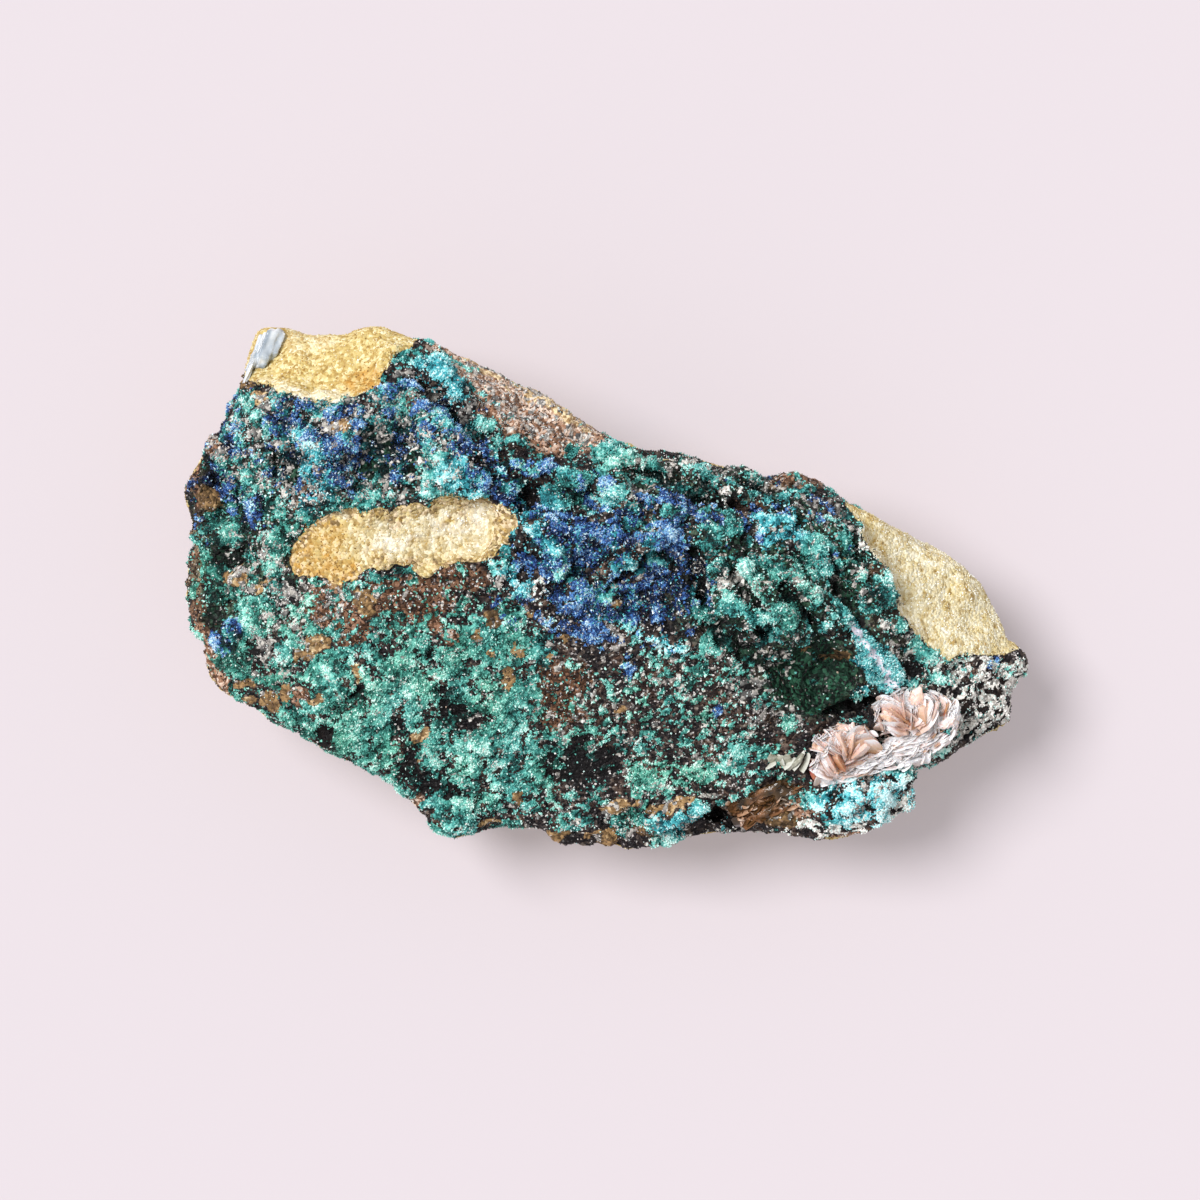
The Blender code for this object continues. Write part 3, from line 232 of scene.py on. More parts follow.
# Ridges and clefts of the crust along a line: its points, half width, height or depth, and how light it is,
# which paints light on a ridge and shade in a cleft.
RIDGES = [
    ([(-19.5, 18.6), (-16.6, 16.2), (-13.2, 13.4)], .8, .7, .3),
    ([(-17, 21.8), (-14.4, 19), (-11.6, 16.2), (-9.4, 14.2)], .7, .8, .3),
    ([(-18.4, 20.2), (-15.4, 17.2), (-12.4, 14.8)], .6, -.9, -.6),
    ([(-9.6, 12.8), (-6.6, 11.9), (-3.4, 10.9)], .6, .6, .3),
    ([(-6, 9.8), (-2.2, 10.2), (1, 9.4), (2.2, 8.2)], .5, .6, .3),
    ([(-6.4, 8.8), (-3.4, 8), (-.4, 7.2)], .5, .5, .2),
    ([(-7.6, 6.6), (-5.8, 5), (-4.9, 3.2), (-5, 1.7)], .5, .7, .4),
    ([(-11.5, 3), (-10.2, 1.2), (-8, .2)], .5, .6, .3), ([(-.6, 1.6), (2, 3.1), (4.6, 4.8)], .5, .6, .4),
    ([(-.2, .7), (2.3, 2.2), (4.9, 3.9)], .5, -.7, -.5),
    ([(8.2, 9), (10.4, 8.6), (13.2, 8.1)], .45, -1.1, -.8),
    ([(12.7, 3.4), (13.8, 1.4), (16.2, -.4)], .5, .9, .35),
    ([(12, 2.2), (13, .4), (15.2, -1.6)], .45, -.9, -.6),
    ([(15.9, -1.2), (17.3, -2.8), (18.7, -4.6)], .55, 1.1, .2),
    ([(17.6, 2), (19, .2), (20, -1.6)], .5, .8, .35),
    ([(17, .4), (18.3, -1.6), (20.2, -3.6)], .45, -.9, -.6),
    ([(21, -.6), (22.6, -1.8), (23.4, -2.8)], .5, .6, .35),
    ([(9.4, -1.4), (10.6, -3.6), (13.2, -4.6), (15.6, -3.6)], .45, -1, -.7),
    ([(9, -3.6), (12, -5.4), (15.6, -7.4), (17.8, -7.8)], .5, -.8, -.6),
    ([(22, -11.9), (24, -11.5), (26.6, -10.7)], .6, -.9, -.8),
    ([(3.4, -4.2), (5.4, -4.4), (7.3, -5.6)], .45, .5, .5), ([(8, 3.4), (8.9, 1), (9, -1)], .6, -.8, -.8),
    ([(10.6, 3.2), (10, 1.2), (10.6, -1.2)], .5, .5, .2),
    ([(18.2, 9.2), (18, 7.2), (17.2, 5.6)], .4, .5, .3),
    ([(13.6, 6.4), (13.2, 4.6), (13.7, 3)], .4, -.8, -.6),
    ([(4.2, -23.4), (6.8, -22.4), (9.4, -21.2)], .5, .7, .3),
    ([(9.6, -22.2), (12, -22.4), (15, -23)], .5, -.9, -.8),
    ([(0, -21.6), (2.4, -21), (4, -21.9)], .4, .5, .2),
    ([(-34.6, 16.4), (-33, 13.4), (-32.8, 11.2)], .5, -.6, -.5),
    ([(-30, 15.6), (-28.6, 12.8), (-29.4, 10.6)], .5, .6, .3),
    ([(-24.2, 17.4), (-21.4, 16), (-18.6, 15.6)], .5, .6, .2),
    ([(-24, 14.8), (-21, 14.2), (-18.4, 14.6)], .5, -.7, -.5),
    ([(-25.6, 9.9), (-22, 10.2), (-18.6, 9.8)], .5, -.5, -.4),
    ([(-36.8, 9.8), (-35.8, 6.4), (-36.2, 3.6)], .5, -.6, -.5),
    ([(2.6, 12), (6.2, 11.2), (10.2, 9.9)], .5, -.8, -.6),
    ([(.6, 12.4), (4.8, 12.6), (9, 11.4)], .5, .5, .2),
    ([(12.6, 10.6), (15.6, 10.2), (18.4, 10.6)], .5, -.6, -.5),
    ([(-6.2, 4.6), (-3.6, 4.2), (-1, 4.6)], .45, .4, .2),
    ([(-5.4, -.6), (-2.6, -1), (.2, -.6)], .45, .35, .2),
    ([(-4.4, 1.4), (-1.8, 1.8), (.6, 3.4)], .5, -.6, -.4),
    ([(21.6, 3.6), (22.4, 1.6), (22.2, -.2)], .5, -.9, -.7),
    ([(24.4, 5.6), (24.4, 3), (26.2, .8)], .5, -.7, -.5),
]
# How thickly each mineral dots the ground between its patches. The share stands where lightness does above.
MALACHITE_FIELDS = [
    (-20, -10, 16, 9, .62, -12), (-11, -14, 8, 8, .6), (-26, 13, 14, 8, .62), (-38, 1, 4, 12, .34),
    (-19, -.8, 9, 2.4, .48), (15, 3, 12, 8, .36), (6.5, -12, 9, 7, .24), (-2, -15, 6, 6, .18),
    (6, 12, 12, 2.6, .42, -8), (10, -18, 9, 5, .17), (12, -6, 7, 4, .22), (-2, 7, 8, 5, .42),
    (2, 1, 7, 4, .34), (-16, 20, 5, 4, .4, -40), (30, -6, 5, 4, .34), (26, -20, 6, 4, .5),
    (37, -11, 5, 4, .22), (20, -13, 5, 4, .14),
]
PALE_FIELDS = [
    (-29, -1, 4, 4, .17), (-20, .8, 9, 2, .16), (-33, -6, 3.5, 4, .2), (-35, 3, 3, 4, .2),
    (-12, -10, 14, 8, .06), (6, -10, 14, 8, .1), (-26, 14, 12, 6, .3), (12, 4, 12, 8, .1),
    (28, -19, 5, 4, .35), (37.5, -10.5, 5, 5, .27), (5, -22, 14, 3, .14), (-2, -2, 7, 4, .1),
    (-8, 18, 7, 2.2, .36, -33), (10, 12, 9, 2, .22, -10), (31, -6.5, 4, 3, .24),
]
AZURITE_FIELDS = [
    (-25, 15, 13, 5.5, .15), (1, 3, 8.5, 7, .4), (-37, 10, 5, 6, .1), (-3, -2, 7, 3, .24),
    (20, 7, 5, 3, .12, -30), (14, 8, 8, 3, .1),
]


def solid_of(node, name):
    """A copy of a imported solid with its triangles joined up, left selected and active."""
    bpy.ops.object.select_all(action="DESELECT")
    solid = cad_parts[node].copy()
    solid.data = solid.data.copy()
    solid.parent = None
    solid.name = name
    solid.hide_render = False
    solid.hide_viewport = False
    for key in [key for key in solid.keys() if key.startswith("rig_")]:
        del solid[key]
    bpy.context.collection.objects.link(solid)
    solid.data.materials.clear()
    solid.select_set(True)
    bpy.context.view_layer.objects.active = solid
    bpy.ops.object.mode_set(mode="EDIT")
    bpy.ops.mesh.select_all(action="SELECT")
    bpy.ops.mesh.remove_doubles(threshold=0.001 * MM)
    bpy.ops.object.mode_set(mode="OBJECT")
    return solid


def points_of(piece, kind="co"):
    """The piece's corner places, or their normals, as rows of X, Y, Z."""
    rows = np.empty(len(piece.data.vertices) * 3)
    piece.data.vertices.foreach_get(kind, rows)
    return rows.reshape(-1, 3)


def set_points(piece, rows):
    """Moves the piece's corners to these places."""
    piece.data.vertices.foreach_set("co", rows.ravel())
    piece.data.update()


def keep(piece, name, values):
    """Stores one number for each corner, for the finish to read."""
    layer = piece.data.attributes.new(name, "FLOAT", "POINT")
    layer.data.foreach_set("value", np.asarray(values, dtype=np.float32))


def smooth(values, low, high):
    """0 below low, 1 above high, and an even curve between."""
    part = np.clip((values - low) / (high - low), 0.0, 1.0)
    return part * part * (3.0 - 2.0 * part)


def lattice(cells, seed):
    """A number from 0 to 1 for each cell of space, the same every time."""
    mixed = (cells[:, 0] * 73856093) ^ (cells[:, 1] * 19349663) ^ (cells[:, 2] * 83492791) ^ (seed * 7919)
    mixed = (mixed ^ (mixed >> 13)) * 1274126177
    mixed = (mixed ^ (mixed >> 16)) * 668265263
    return ((mixed ^ (mixed >> 15)) & 0xFFFF) / 65535.0


def lumps(places, size, seed):
    """Soft lumps of one size all through space, from -1 to 1."""
    scaled = places / size + 0.37 * seed
    cells = np.floor(scaled).astype(np.int64)
    part = scaled - cells
    part = part * part * (3.0 - 2.0 * part)
    total = np.zeros(len(places))
    for corner in np.ndindex(2, 2, 2):
        weight = np.prod(np.where(corner, part, 1.0 - part), axis=1)
        total += weight * lattice(cells + corner, seed)
    return 2.0 * total - 1.0


def spread(places, patches):
    """How far each place lies in the patches, 1 inside and 0 past the edge, and how light it is there."""
    cover = np.zeros(len(places))
    light_sum = np.full(len(places), 1e-6)
    light = np.full(len(places), 0.5e-6)
    for patch in patches:
        x, y, half_length, half_width, lightness, turn = (patch + (0.0, 0.0))[:6]
        angle = math.radians(turn)
        across = places[:, :2] - (x, y)
        along = across[:, 0] * math.cos(angle) + across[:, 1] * math.sin(angle)
        aside = across[:, 1] * math.cos(angle) - across[:, 0] * math.sin(angle)
        reach = np.hypot(along / half_length, aside / half_width)
        share = 1.0 - smooth(reach, 0.75, 1.45)
        cover = np.maximum(cover, share)
        light += share * lightness
        light_sum += share
    return cover, light / light_sum


def fields(places, patches):
    """The share that a mineral takes of the ground in broad soft fields, in place of how light it is."""
    cover = np.zeros(len(places))
    for patch in patches:
        share, _ = spread(places, [patch])
        cover = np.maximum(cover, share * patch[4])
    return cover


def off_line(places, line):
    """How far each place is from a line of points, seen from above."""
    nearest = np.full(len(places), 1e9)
    for start, end in zip(np.array(line), np.array(line[1:])):
        run = end - start
        share = np.clip((places[:, :2] - start) @ run / (run @ run), 0.0, 1.0)
        nearest = np.minimum(nearest, np.linalg.norm(places[:, :2] - start - share[:, None] * run, axis=1))
    return nearest


def evened(values, size):
    """Spreads bell-shaped noise evenly from 0 to 1, so that a share of the ground can be read from it."""
    return 0.5 + 0.5 * np.tanh(0.85 * values / size)


def inside(places, outline):
    """1 for a place inside an outline seen from above, and 0 outside."""
    held = np.zeros(len(places), dtype=bool)
    for (x1, y1), (x2, y2) in zip(outline, outline[1:] + outline[:1]):
        spans = (places[:, 1] < y1) != (places[:, 1] < y2)
        crossing = x1 + (places[:, 1] - y1) * (x2 - x1) / (y2 - y1 if y2 != y1 else 1e-9)
        held ^= spans & (places[:, 0] < crossing)
    return held.astype(float)


# The crystals' roots fill their sockets, because the real crystals are grown fast to the stone.
roots = []
for node in ("pink_baryte", "brown_baryte", "pale_plates", "coated_blade", "corner_crystal"):
    root = solid_of(node, node + "_root")
    bpy.ops.object.mode_set(mode="EDIT")
    bpy.ops.mesh.select_all(action="SELECT")
    bpy.ops.transform.shrink_fatten(value=SOCKET_FILL)
    bpy.ops.transform.translate(value=(0.0, 0.0, -SOCKET_SINK))
    bpy.ops.object.mode_set(mode="OBJECT")
    roots.append(root)
block = solid_of("host_rock", "sandstone_block")
for root in roots:
    root.select_set(True)
bpy.ops.object.join()
remesh = block.modifiers.new("even faces", "REMESH")
remesh.mode = "VOXEL"
remesh.voxel_size = ROUGH_FACE
bpy.ops.object.modifier_apply(modifier=remesh.name)
for face in block.data.polygons:
    face.select = face.normal.z > UPWARD
bpy.ops.object.mode_set(mode="EDIT")
bpy.ops.mesh.subdivide(number_cuts=1)
bpy.ops.object.mode_set(mode="OBJECT")

# The minerals that cover each corner of the block. Malachite and azurite stand in small clumps, and each
# covers the share of the ground that its patches and fields say.
place = points_of(block) / MM
outward = points_of(block, "normal")


def drift(size, seed):
    """Soft noise of one size that moves each corner's place sideways."""
    return np.stack([lumps(place, size, seed), lumps(place, size, seed + 1), np.zeros(len(place))], axis=1)


warp = drift(1.5, 1) * 0.50 + drift(0.6, 3) * 0.32
columns = np.round((place[:, :2] - place[:, :2].min(axis=0)) / COLUMN).astype(int)
tops = np.zeros(columns.max(axis=0) + 1)
np.maximum.at(tops, (columns[:, 0], columns[:, 1]), place[:, 2])
below_top = tops[columns[:, 0], columns[:, 1]] - place[:, 2]
hung = place + SIDE_WANDER * smooth(below_top, *SIDE_DEPTHS)[:, None] * drift(4.5, 61)
drawn = hung + warp
upper = smooth(outward[:, 2] + 0.25 * lumps(place, 2.5, 5), -0.22, 0.10)

# Clean stone: the broken faces with soft edges, the rim of the window, and most of the sides.
sand = np.zeros(len(place))
for outline, ragged in zip(BROKEN_FACES, EDGE_WANDER):
    for nudge in ((0.15, 0.15, 0.0), (-0.15, 0.15, 0.0), (0.15, -0.15, 0.0), (-0.15, -0.15, 0.0)):
        sand += 0.25 * inside(hung + ragged * warp + nudge, outline)
rim = inside(place + EDGE_WANDER[2] * warp, WINDOW)
for nudge in ((1.6, 0.0, 0.0), (-0.6, 0.0, 0.0), (0.0, 1.0, 0.0), (0.0, -0.6, 0.0)):
    rim *= 1.0 - 0.5 * inside(place + 2.2 * warp + nudge, WINDOW)
rim = smooth(rim, 0.0, 0.16)
holes = lumps(place, 5.0, 6) + 0.30 * lumps(place, 1.3, 55) + 0.20 * lumps(place, 0.55, 56)
sand = np.maximum(np.clip(sand, 0.0, 1.0), (1.0 - upper) * smooth(holes, -0.85, -0.50))
crust = 1.0 - sand

# How far each place lies in each mineral's patches, and the noise and ridges that break them up.
azurite, azurite_light = spread(drawn, AZURITE_PATCHES)
malachite, malachite_light = spread(drawn, MALACHITE_PATCHES)
rust, rust_light = spread(drawn, RUST_PATCHES)
ochre, ochre_light = spread(drawn, OCHRE_PATCHES)
pale, pale_light = spread(drawn, PALE_PATCHES)
dark, dark_light = spread(drawn, DARK_PATCHES)
bleached, bleached_light = spread(drawn, SAND_PATCHES)
calm, _ = spread(place, CALM_GROUND)
veined = place @ np.array([[0.42 * 0.82, -0.42 * 0.57, 0.0], [0.57, 0.82, 0.0], [0.0, 0.0, 1.0]]).T
ridges = 0.42 - np.abs(lumps(veined, 1.5, 11)) - 0.35 * np.abs(lumps(veined, 0.75, 12))
knobs = 0.40 - np.abs(lumps(place, 1.1, 19))
crumbs = lumps(place, 0.55, 13)
crests = np.zeros(len(place))
painted_crest_light = np.zeros(len(place))
for line, half_width, height, lightness in RIDGES:
    share = 1.0 - smooth(off_line(place + 0.8 * warp, line), 0.1 * half_width, 1.25 * half_width)
    crests += height * share
    painted_crest_light += lightness * share * (0.65 if lightness > 0 else 1.0)
crested = np.clip(2.4 * painted_crest_light, 0.0, 1.0)
# Painted shade: the clefts join the dark patches as near-black ground.
painted_cleft_shade = np.clip(-1.3 * painted_crest_light, 0.0, 1.0)
dark_light = np.where(painted_cleft_shade > dark, 0.25, dark_light)
dark = np.maximum(dark, painted_cleft_shade)
stained = fields(drawn, GREEN_STAINS)
dotted, _ = spread(place, FINE_GROUND)
dots = (0.6 - 0.4 * dotted) * lumps(place, 0.8, 7) + (0.4 + 0.25 * dotted) * lumps(place, 0.4, 8)
strands = 0.45 * lumps(veined, 0.9, 33) + 0.3 * lumps(place, 0.9, 34) + 0.3 * lumps(place, 0.45, 8)
clumps = np.where(calm > 0.5, dots, strands)
veins = 0.6 * lumps(veined, 0.8, 9) + 0.45 * lumps(place, 0.42, 10)
uneven = 0.16 * lumps(place, 2.6, 35)

# The share of the ground that each mineral takes, and what it leaves to the others.
blue_ground, _ = spread(place, BLUE_GROUND)
azurite_field = fields(drawn, AZURITE_FIELDS) * (1.0 - 0.6 * malachite)
azurite = np.maximum(azurite * (0.38 + 0.34 * blue_ground), azurite_field)
azurite = (azurite + uneven * (azurite > 0.1)) * (1.0 - 0.8 * crested)
malachite = np.maximum(malachite * 0.86, fields(drawn, MALACHITE_FIELDS))
malachite = np.maximum(malachite - uneven * (malachite > 0.1), 0.8 * crested)
malachite = np.where(upper > 0.5, malachite, (1.0 - upper) * smooth(lumps(place, 4.0, 8), 0.15, 0.7) * 0.6)
azurite *= upper * (1.0 - 0.85 * np.maximum(ochre, 0.6 * pale))
malachite *= 1.0 - 0.9 * np.maximum(ochre, np.maximum(0.55 * pale, 0.65 * dark * (dark_light < 0.4)))
malachite *= 1.0 - 0.85 * rust
dust = np.clip(malachite + 0.25 * rust * (rust_light < 0.3), 0.0, 1.0) * crust * upper * (1.0 - 0.45 * dotted)
dust *= 1.0 - 0.8 * dark
pale_field = fields(drawn, PALE_FIELDS)
frost = pale_field * crust * upper * (1.0 - 0.7 * dark)
hue, _ = spread(place, CYAN_PATCHES)
leafy, _ = spread(place, LEAFY_GROUND)
hue = np.clip(0.42 + 0.6 * hue + 0.8 * azurite - 0.20 * leafy + 0.22 * lumps(place, 3.0, 54), 0.0, 1.0)

# Each share read from the noise, which gives clumps with sharp edges.
azurite = smooth(np.where(azurite > 0.06, azurite, -1.0) - evened(veins, 0.25), -0.10, 0.08) * crust
malachite = smooth(malachite + 0.12 * ridges + 0.2 * painted_crest_light - evened(clumps, 0.24), -0.08, 0.08) * crust
flecks = 0.35 * lumps(place, 0.8, 20) + 0.65 * lumps(place, 0.38, 21)
pale = smooth(np.maximum(0.52 * pale, pale_field) - evened(flecks, 0.27), -0.1, 0.1) * (crust * upper)
ochre = smooth(ochre - 0.95 * evened(crumbs, 0.33), -0.1, 0.2) * crust * upper
malachite *= 1.0 - ochre
azurite *= 1.0 - ochre

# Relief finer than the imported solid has: ridges and knobs on the crust, clumps on the calm ground.
wild = crust * upper * (1.0 - 0.72 * calm)
rise = wild * (0.62 * ridges + 0.30 * knobs) + crust * upper * (0.16 * crumbs + 0.8 * crests)
rise += (0.24 * malachite * (1.0 - 0.4 * wild) + 0.16 * azurite + 0.10 * pale + 0.12 * ochre
         - 0.30 * dark * crust * upper)
rise += sand * (0.22 * lumps(place, 2.6, 22) + (1.0 - 0.5 * upper) * (0.18 * lumps(place, 1.2, 14)
                + 0.09 * lumps(place, 0.6, 15)))
rise += (1.0 - upper) * (0.28 * lumps(place, 2.2, 17) + 0.16 * lumps(place, 1.0, 18))
floor_side = (place[:, 2] < 0.45) & (outward[:, 2] < -0.6)
shaped = place + outward * rise[:, None]
low, high = np.array(cad_box[0]) / MM, np.array(cad_box[1]) / MM
shaped = np.clip(shaped, low + 0.02, high - 0.02)
shaped[floor_side, 2] = 0.0
shaped[:, 2] = np.maximum(shaped[:, 2], 0.0)
set_points(block, shaped * MM)

# Painted relief light: how high each place stands in the crust, from 0 in the hollows to 1 on the crests,
# which are paler.
# It darkens the colours and the crystals in the hollows, as painted shade, and pales them on the crests, as
# painted light.
painted_relief_light = 0.46 + wild * (0.50 * ridges + 0.30 * knobs) + 0.75 * painted_crest_light + 0.30 * crumbs
painted_relief_light += 0.28 * lumps(place, 0.8, 36) + 0.14 * lumps(place, 2.8, 37) - 0.30 * dark + 0.12 * calm
painted_relief_light = np.clip(painted_relief_light, 0.0, 1.0)
# Malachite is paler on the fine ground, and darker in the dark green hollows, where that is painted shade.
malachite_light = malachite_light + 0.20 * dotted - 0.35 * dark * (dark_light > 0.6)
stored = dict(
    sand=sand, azurite=azurite, azurite_light=azurite_light, malachite=malachite,
    malachite_light=malachite_light, rust=rust * crust * upper, rust_light=rust_light, ochre=ochre,
    ochre_light=ochre_light, pale=pale, pale_light=pale_light, dark=dark * crust * upper,
    dark_light=dark_light, bleached=bleached, bleached_light=bleached_light, depth=painted_relief_light, hue=hue,
    stained=stained, rim=rim, dust=dust, frost=frost)
for name, values in stored.items():
    keep(block, name, values)


def tint(red, green, blue):
    """A colour from 0 to 255 as a painter mixes it, as the light values that a shader takes."""
    return tuple((part / 255 / 12.92) if part <= 10 else ((part / 255 + 0.055) / 1.055) ** 2.4
                 for part in (red, green, blue)) + (1.0,)


class Wire:
    """A number that changes over a surface. Sums on it add their own Math nodes."""

    def __init__(self, finish, socket):
        self.finish = finish
        self.socket = socket

    def sum(self, operation, first, second=0.0, clamp=False):
        settings = {"operation": operation, "use_clamp": clamp}
        node = self.finish.add("ShaderNodeMath", settings, {0: first, 1: second})
        return Wire(self.finish, node.outputs[0])

    def __add__(self, other):
        return self.sum("ADD", self, other)

    def __sub__(self, other):
        return self.sum("SUBTRACT", self, other)

    def __rsub__(self, other):
        return self.sum("SUBTRACT", other, self)

    def __mul__(self, other):
        return self.sum("MULTIPLY", self, other)

    def __gt__(self, other):
        return self.sum("GREATER_THAN", self, other)

    __radd__ = __add__
    __rmul__ = __mul__

    def between(self, low, high):
        """0 at low and below, 1 at high and above."""
        return self.sum("MULTIPLY", self - low, 1.0 / (high - low), clamp=True)


class Finish:
    """A material, built up from nodes on its Principled shader."""

    def __init__(self, name, **constants):
        self.material = bpy.data.materials.new(name)
        self.material.use_nodes = True
        self.tree = self.material.node_tree
        self.shader = self.tree.nodes["Principled BSDF"]
        for socket, value in constants.items():
            self.put(self.shader.inputs[socket.replace("_", " ")], value)
        self.place = self.add("ShaderNodeTexCoord").outputs["Object"]

    def put(self, socket, value):
        """Sets a socket to a value, or links it to what gives the value."""
        if isinstance(value, Wire):
            value = value.socket
        if isinstance(value, bpy.types.NodeSocket):
            self.tree.links.new(value, socket)
        else:
            socket.default_value = value

    def add(self, kind, settings=None, values=None):
        """Adds a node. A colour ramp's stops are each a place, and red, green and blue from 0 to 255."""
        node = self.tree.nodes.new(kind)
        for key, value in (settings or {}).items():
            if key == "stops":
                while len(node.color_ramp.elements) < len(value):
                    node.color_ramp.elements.new(1.0)
                for element, (position, *colour) in zip(node.color_ramp.elements, value):
                    element.position = position
                    element.color = tint(*colour)
            else:
                setattr(node, key, value)
        for key, value in (values or {}).items():
            self.put(node.inputs[key], value)
        return node

    def value(self, name):
        """A number stored on the piece's corners."""
        return Wire(self, self.add("ShaderNodeAttribute", {"attribute_name": name}).outputs["Fac"])

    def cloud(self, size, detail=2.0):
        """Soft noise of one size, from 0 to 1."""
        values = {"Vector": self.place, "Scale": 1.0 / size, "Detail": detail, "Roughness": 0.6}
        return Wire(self, self.add("ShaderNodeTexNoise", None, values).outputs["Fac"])

    def grains(self, size):
        """Three numbers for each grain of one size, and the distance from the grain's middle."""
        node = self.add("ShaderNodeTexVoronoi", None, {"Vector": self.place, "Scale": 1.0 / size})
        split = self.add("ShaderNodeSeparateColor", None, {"Color": node.outputs["Color"]})
        return [Wire(self, output) for output in split.outputs] + [Wire(self, node.outputs["Distance"])]

    def mix(self, share, first, second):
        """The first colour where the share is 0, and the second where it is 1."""
        node = self.add("ShaderNodeMix", {"data_type": "RGBA"}, {0: share, 6: first, 7: second})
        return node.outputs[2]

    def ramp(self, share, *stops):
        """A colour for each share, read between the stops."""
        return self.add("ShaderNodeValToRGB", {"stops": stops}, {0: share}).outputs["Color"]

    def paint(self, colour):
        """Gives the surface a colour."""
        self.put(self.shader.inputs["Base Color"], colour)

    def toned(self, uneven, size, detail=2.0):
        """The tone stored on the piece's corners, made a little uneven by soft noise of one size."""
        return self.value("tone") + uneven * (self.cloud(size, detail) - 0.5)

    def grade(self, stops, uneven, size, detail=2.0):
        """Colours the surface by its uneven tone."""
        self.paint(self.ramp(self.toned(uneven, size, detail), *stops))

    def rough(self, height, depth):
        """Makes the surface rough by a height from 0 to 1, this deep."""
        bump = self.add("ShaderNodeBump", None, {"Height": height, "Distance": depth, "Strength": 1.0})
        self.put(self.shader.inputs["Normal"], bump.outputs["Normal"])


# Colours from dark to light: place, and red, green and blue.
LEAF_STOPS = [
    (0.00, 8, 24, 19), (0.20, 19, 52, 43), (0.38, 46, 108, 92), (0.56, 86, 162, 140), (0.74, 138, 206, 184),
    (0.92, 218, 244, 232),
]
TEAL_STOPS = [
    (0.00, 7, 22, 28), (0.20, 13, 50, 60), (0.38, 28, 100, 112), (0.56, 60, 160, 172),
    (0.74, 124, 212, 216), (0.92, 220, 246, 248),
]
AZURITE_STOPS = [
    (0.00, 8, 10, 18), (0.22, 19, 30, 58), (0.42, 42, 68, 124), (0.58, 70, 116, 182), (0.74, 112, 170, 212),
    (0.92, 204, 228, 242),
]


def malachite_colour(finish, share):
    """Leaf green to blue teal, by the hue that is stored on the piece."""
    return finish.mix(finish.value("hue"), finish.ramp(share, *LEAF_STOPS), finish.ramp(share, *TEAL_STOPS))


stone = Finish("crusted sandstone", Roughness=0.75, Specular_IOR_Level=0.2)
pick, tone, gloss, middle = stone.grains(0.34 * MM)
fine = stone.cloud(0.45 * MM)
soft = stone.cloud(2.4 * MM)
# The depth is the painted relief light. It darkens the ground, the nodules, the malachite and the azurite in
# the hollows, as painted shade, and pales them on the crests, as painted light.
depth = stone.value("depth")
streaks = stone.cloud(1.1 * MM, 3.0)
sandstone = stone.ramp(tone * 0.52 + fine * 0.42 + streaks * 0.60 - 0.22,
                       (0.10, 122, 92, 46), (0.28, 168, 136, 76), (0.48, 196, 172, 108),
                       (0.68, 216, 198, 142), (0.92, 238, 228, 192))
# Bleached and amber stone, and painted light that pales the right end face.
bleach_and_painted_light_colour = stone.ramp(stone.value("bleached_light") * 0.75 + tone * 0.3, (0.05, 186, 126, 40),
                  (0.35, 206, 160, 80), (0.65, 218, 208, 172), (1.0, 246, 244, 234))
sandstone = stone.mix(stone.value("bleached") * streaks.between(0.32, 0.60) * 0.75, sandstone, bleach_and_painted_light_colour)
# The rim of the window is a darker brown, most of all along its right and top edges.
rim_brown = stone.ramp(tone, (0.1, 92, 74, 54), (0.5, 160, 130, 92), (0.9, 222, 198, 166))
sandstone = stone.mix(stone.value("rim") * fine.between(0.38, 0.52) * 0.9, sandstone, rim_brown)
ground = stone.ramp(tone * 0.60 + fine * 0.35 + depth * 0.28 - 0.18, (0.15, 8, 6, 9),
                    (0.45, 28, 23, 26), (0.68, 62, 52, 48), (0.85, 120, 108, 98),
                    (1.0, 196, 190, 180))
rusty = stone.ramp(tone * 0.55 + stone.value("rust_light") * 0.5, (0.15, 46, 29, 20),
                   (0.40, 90, 61, 42), (0.65, 158, 118, 94), (0.88, 226, 204, 186))
ground = stone.mix((stone.value("rust") + 0.5 * (soft - 0.42)).between(0.05, 0.40), ground, rusty)
hollow = stone.ramp(tone, (0.1, 7, 18, 13), (0.6, 17, 44, 32), (0.95, 44, 90, 68))
ground = stone.mix(stone.value("stained") * soft.between(0.34, 0.50) * 0.85, ground, hollow)
# Dark oxide and painted shade: near black where a patch is low in lightness, and dark green in the hollows
# where it is high.
dark_ground_and_shade_colour = stone.mix(stone.value("dark_light"), tint(8, 6, 8), hollow)
ground = stone.mix((stone.value("dark") + 0.3 * (fine - 0.5)).between(0.25, 0.7) * 0.9, ground, dark_ground_and_shade_colour)
dull = stone.ramp(stone.value("pale_light") * 0.70 + tone * 0.70 - 0.22, (0.0, 40, 38, 38),
                  (0.35, 106, 104, 102), (0.65, 182, 176, 168), (1.0, 246, 242, 236))
nodule = stone.ramp(stone.value("ochre_light") * 0.5 + tone * 0.45 + depth * 0.3 - 0.12,
                    (0.1, 44, 34, 22), (0.40, 104, 80, 52), (0.68, 164, 130, 88),
                    (0.95, 228, 206, 166))
green = malachite_colour(stone, stone.value("malachite_light") * 0.36 + tone * 0.44 + depth * 0.84 - 0.44)
blue = stone.ramp(stone.value("azurite_light") * 0.40 + tone * 0.40 + depth * 0.76 - 0.42, *AZURITE_STOPS)
edge = 0.35 * (pick - 0.5)
speck, speck_tone, frosted, _ = stone.grains(0.20 * MM)
powder = malachite_colour(stone, 0.30 + speck_tone * 0.55)
ground = stone.mix(stone.value("dust") * 0.34 > speck, ground, powder)
ground = stone.mix(stone.value("frost") * 0.36 > frosted, ground, stone.ramp(
    speck_tone, (0.0, 104, 98, 98), (1.0, 222, 216, 212)))
surface = stone.mix((stone.value("ochre") + edge).between(0.35, 0.6), ground, nodule)
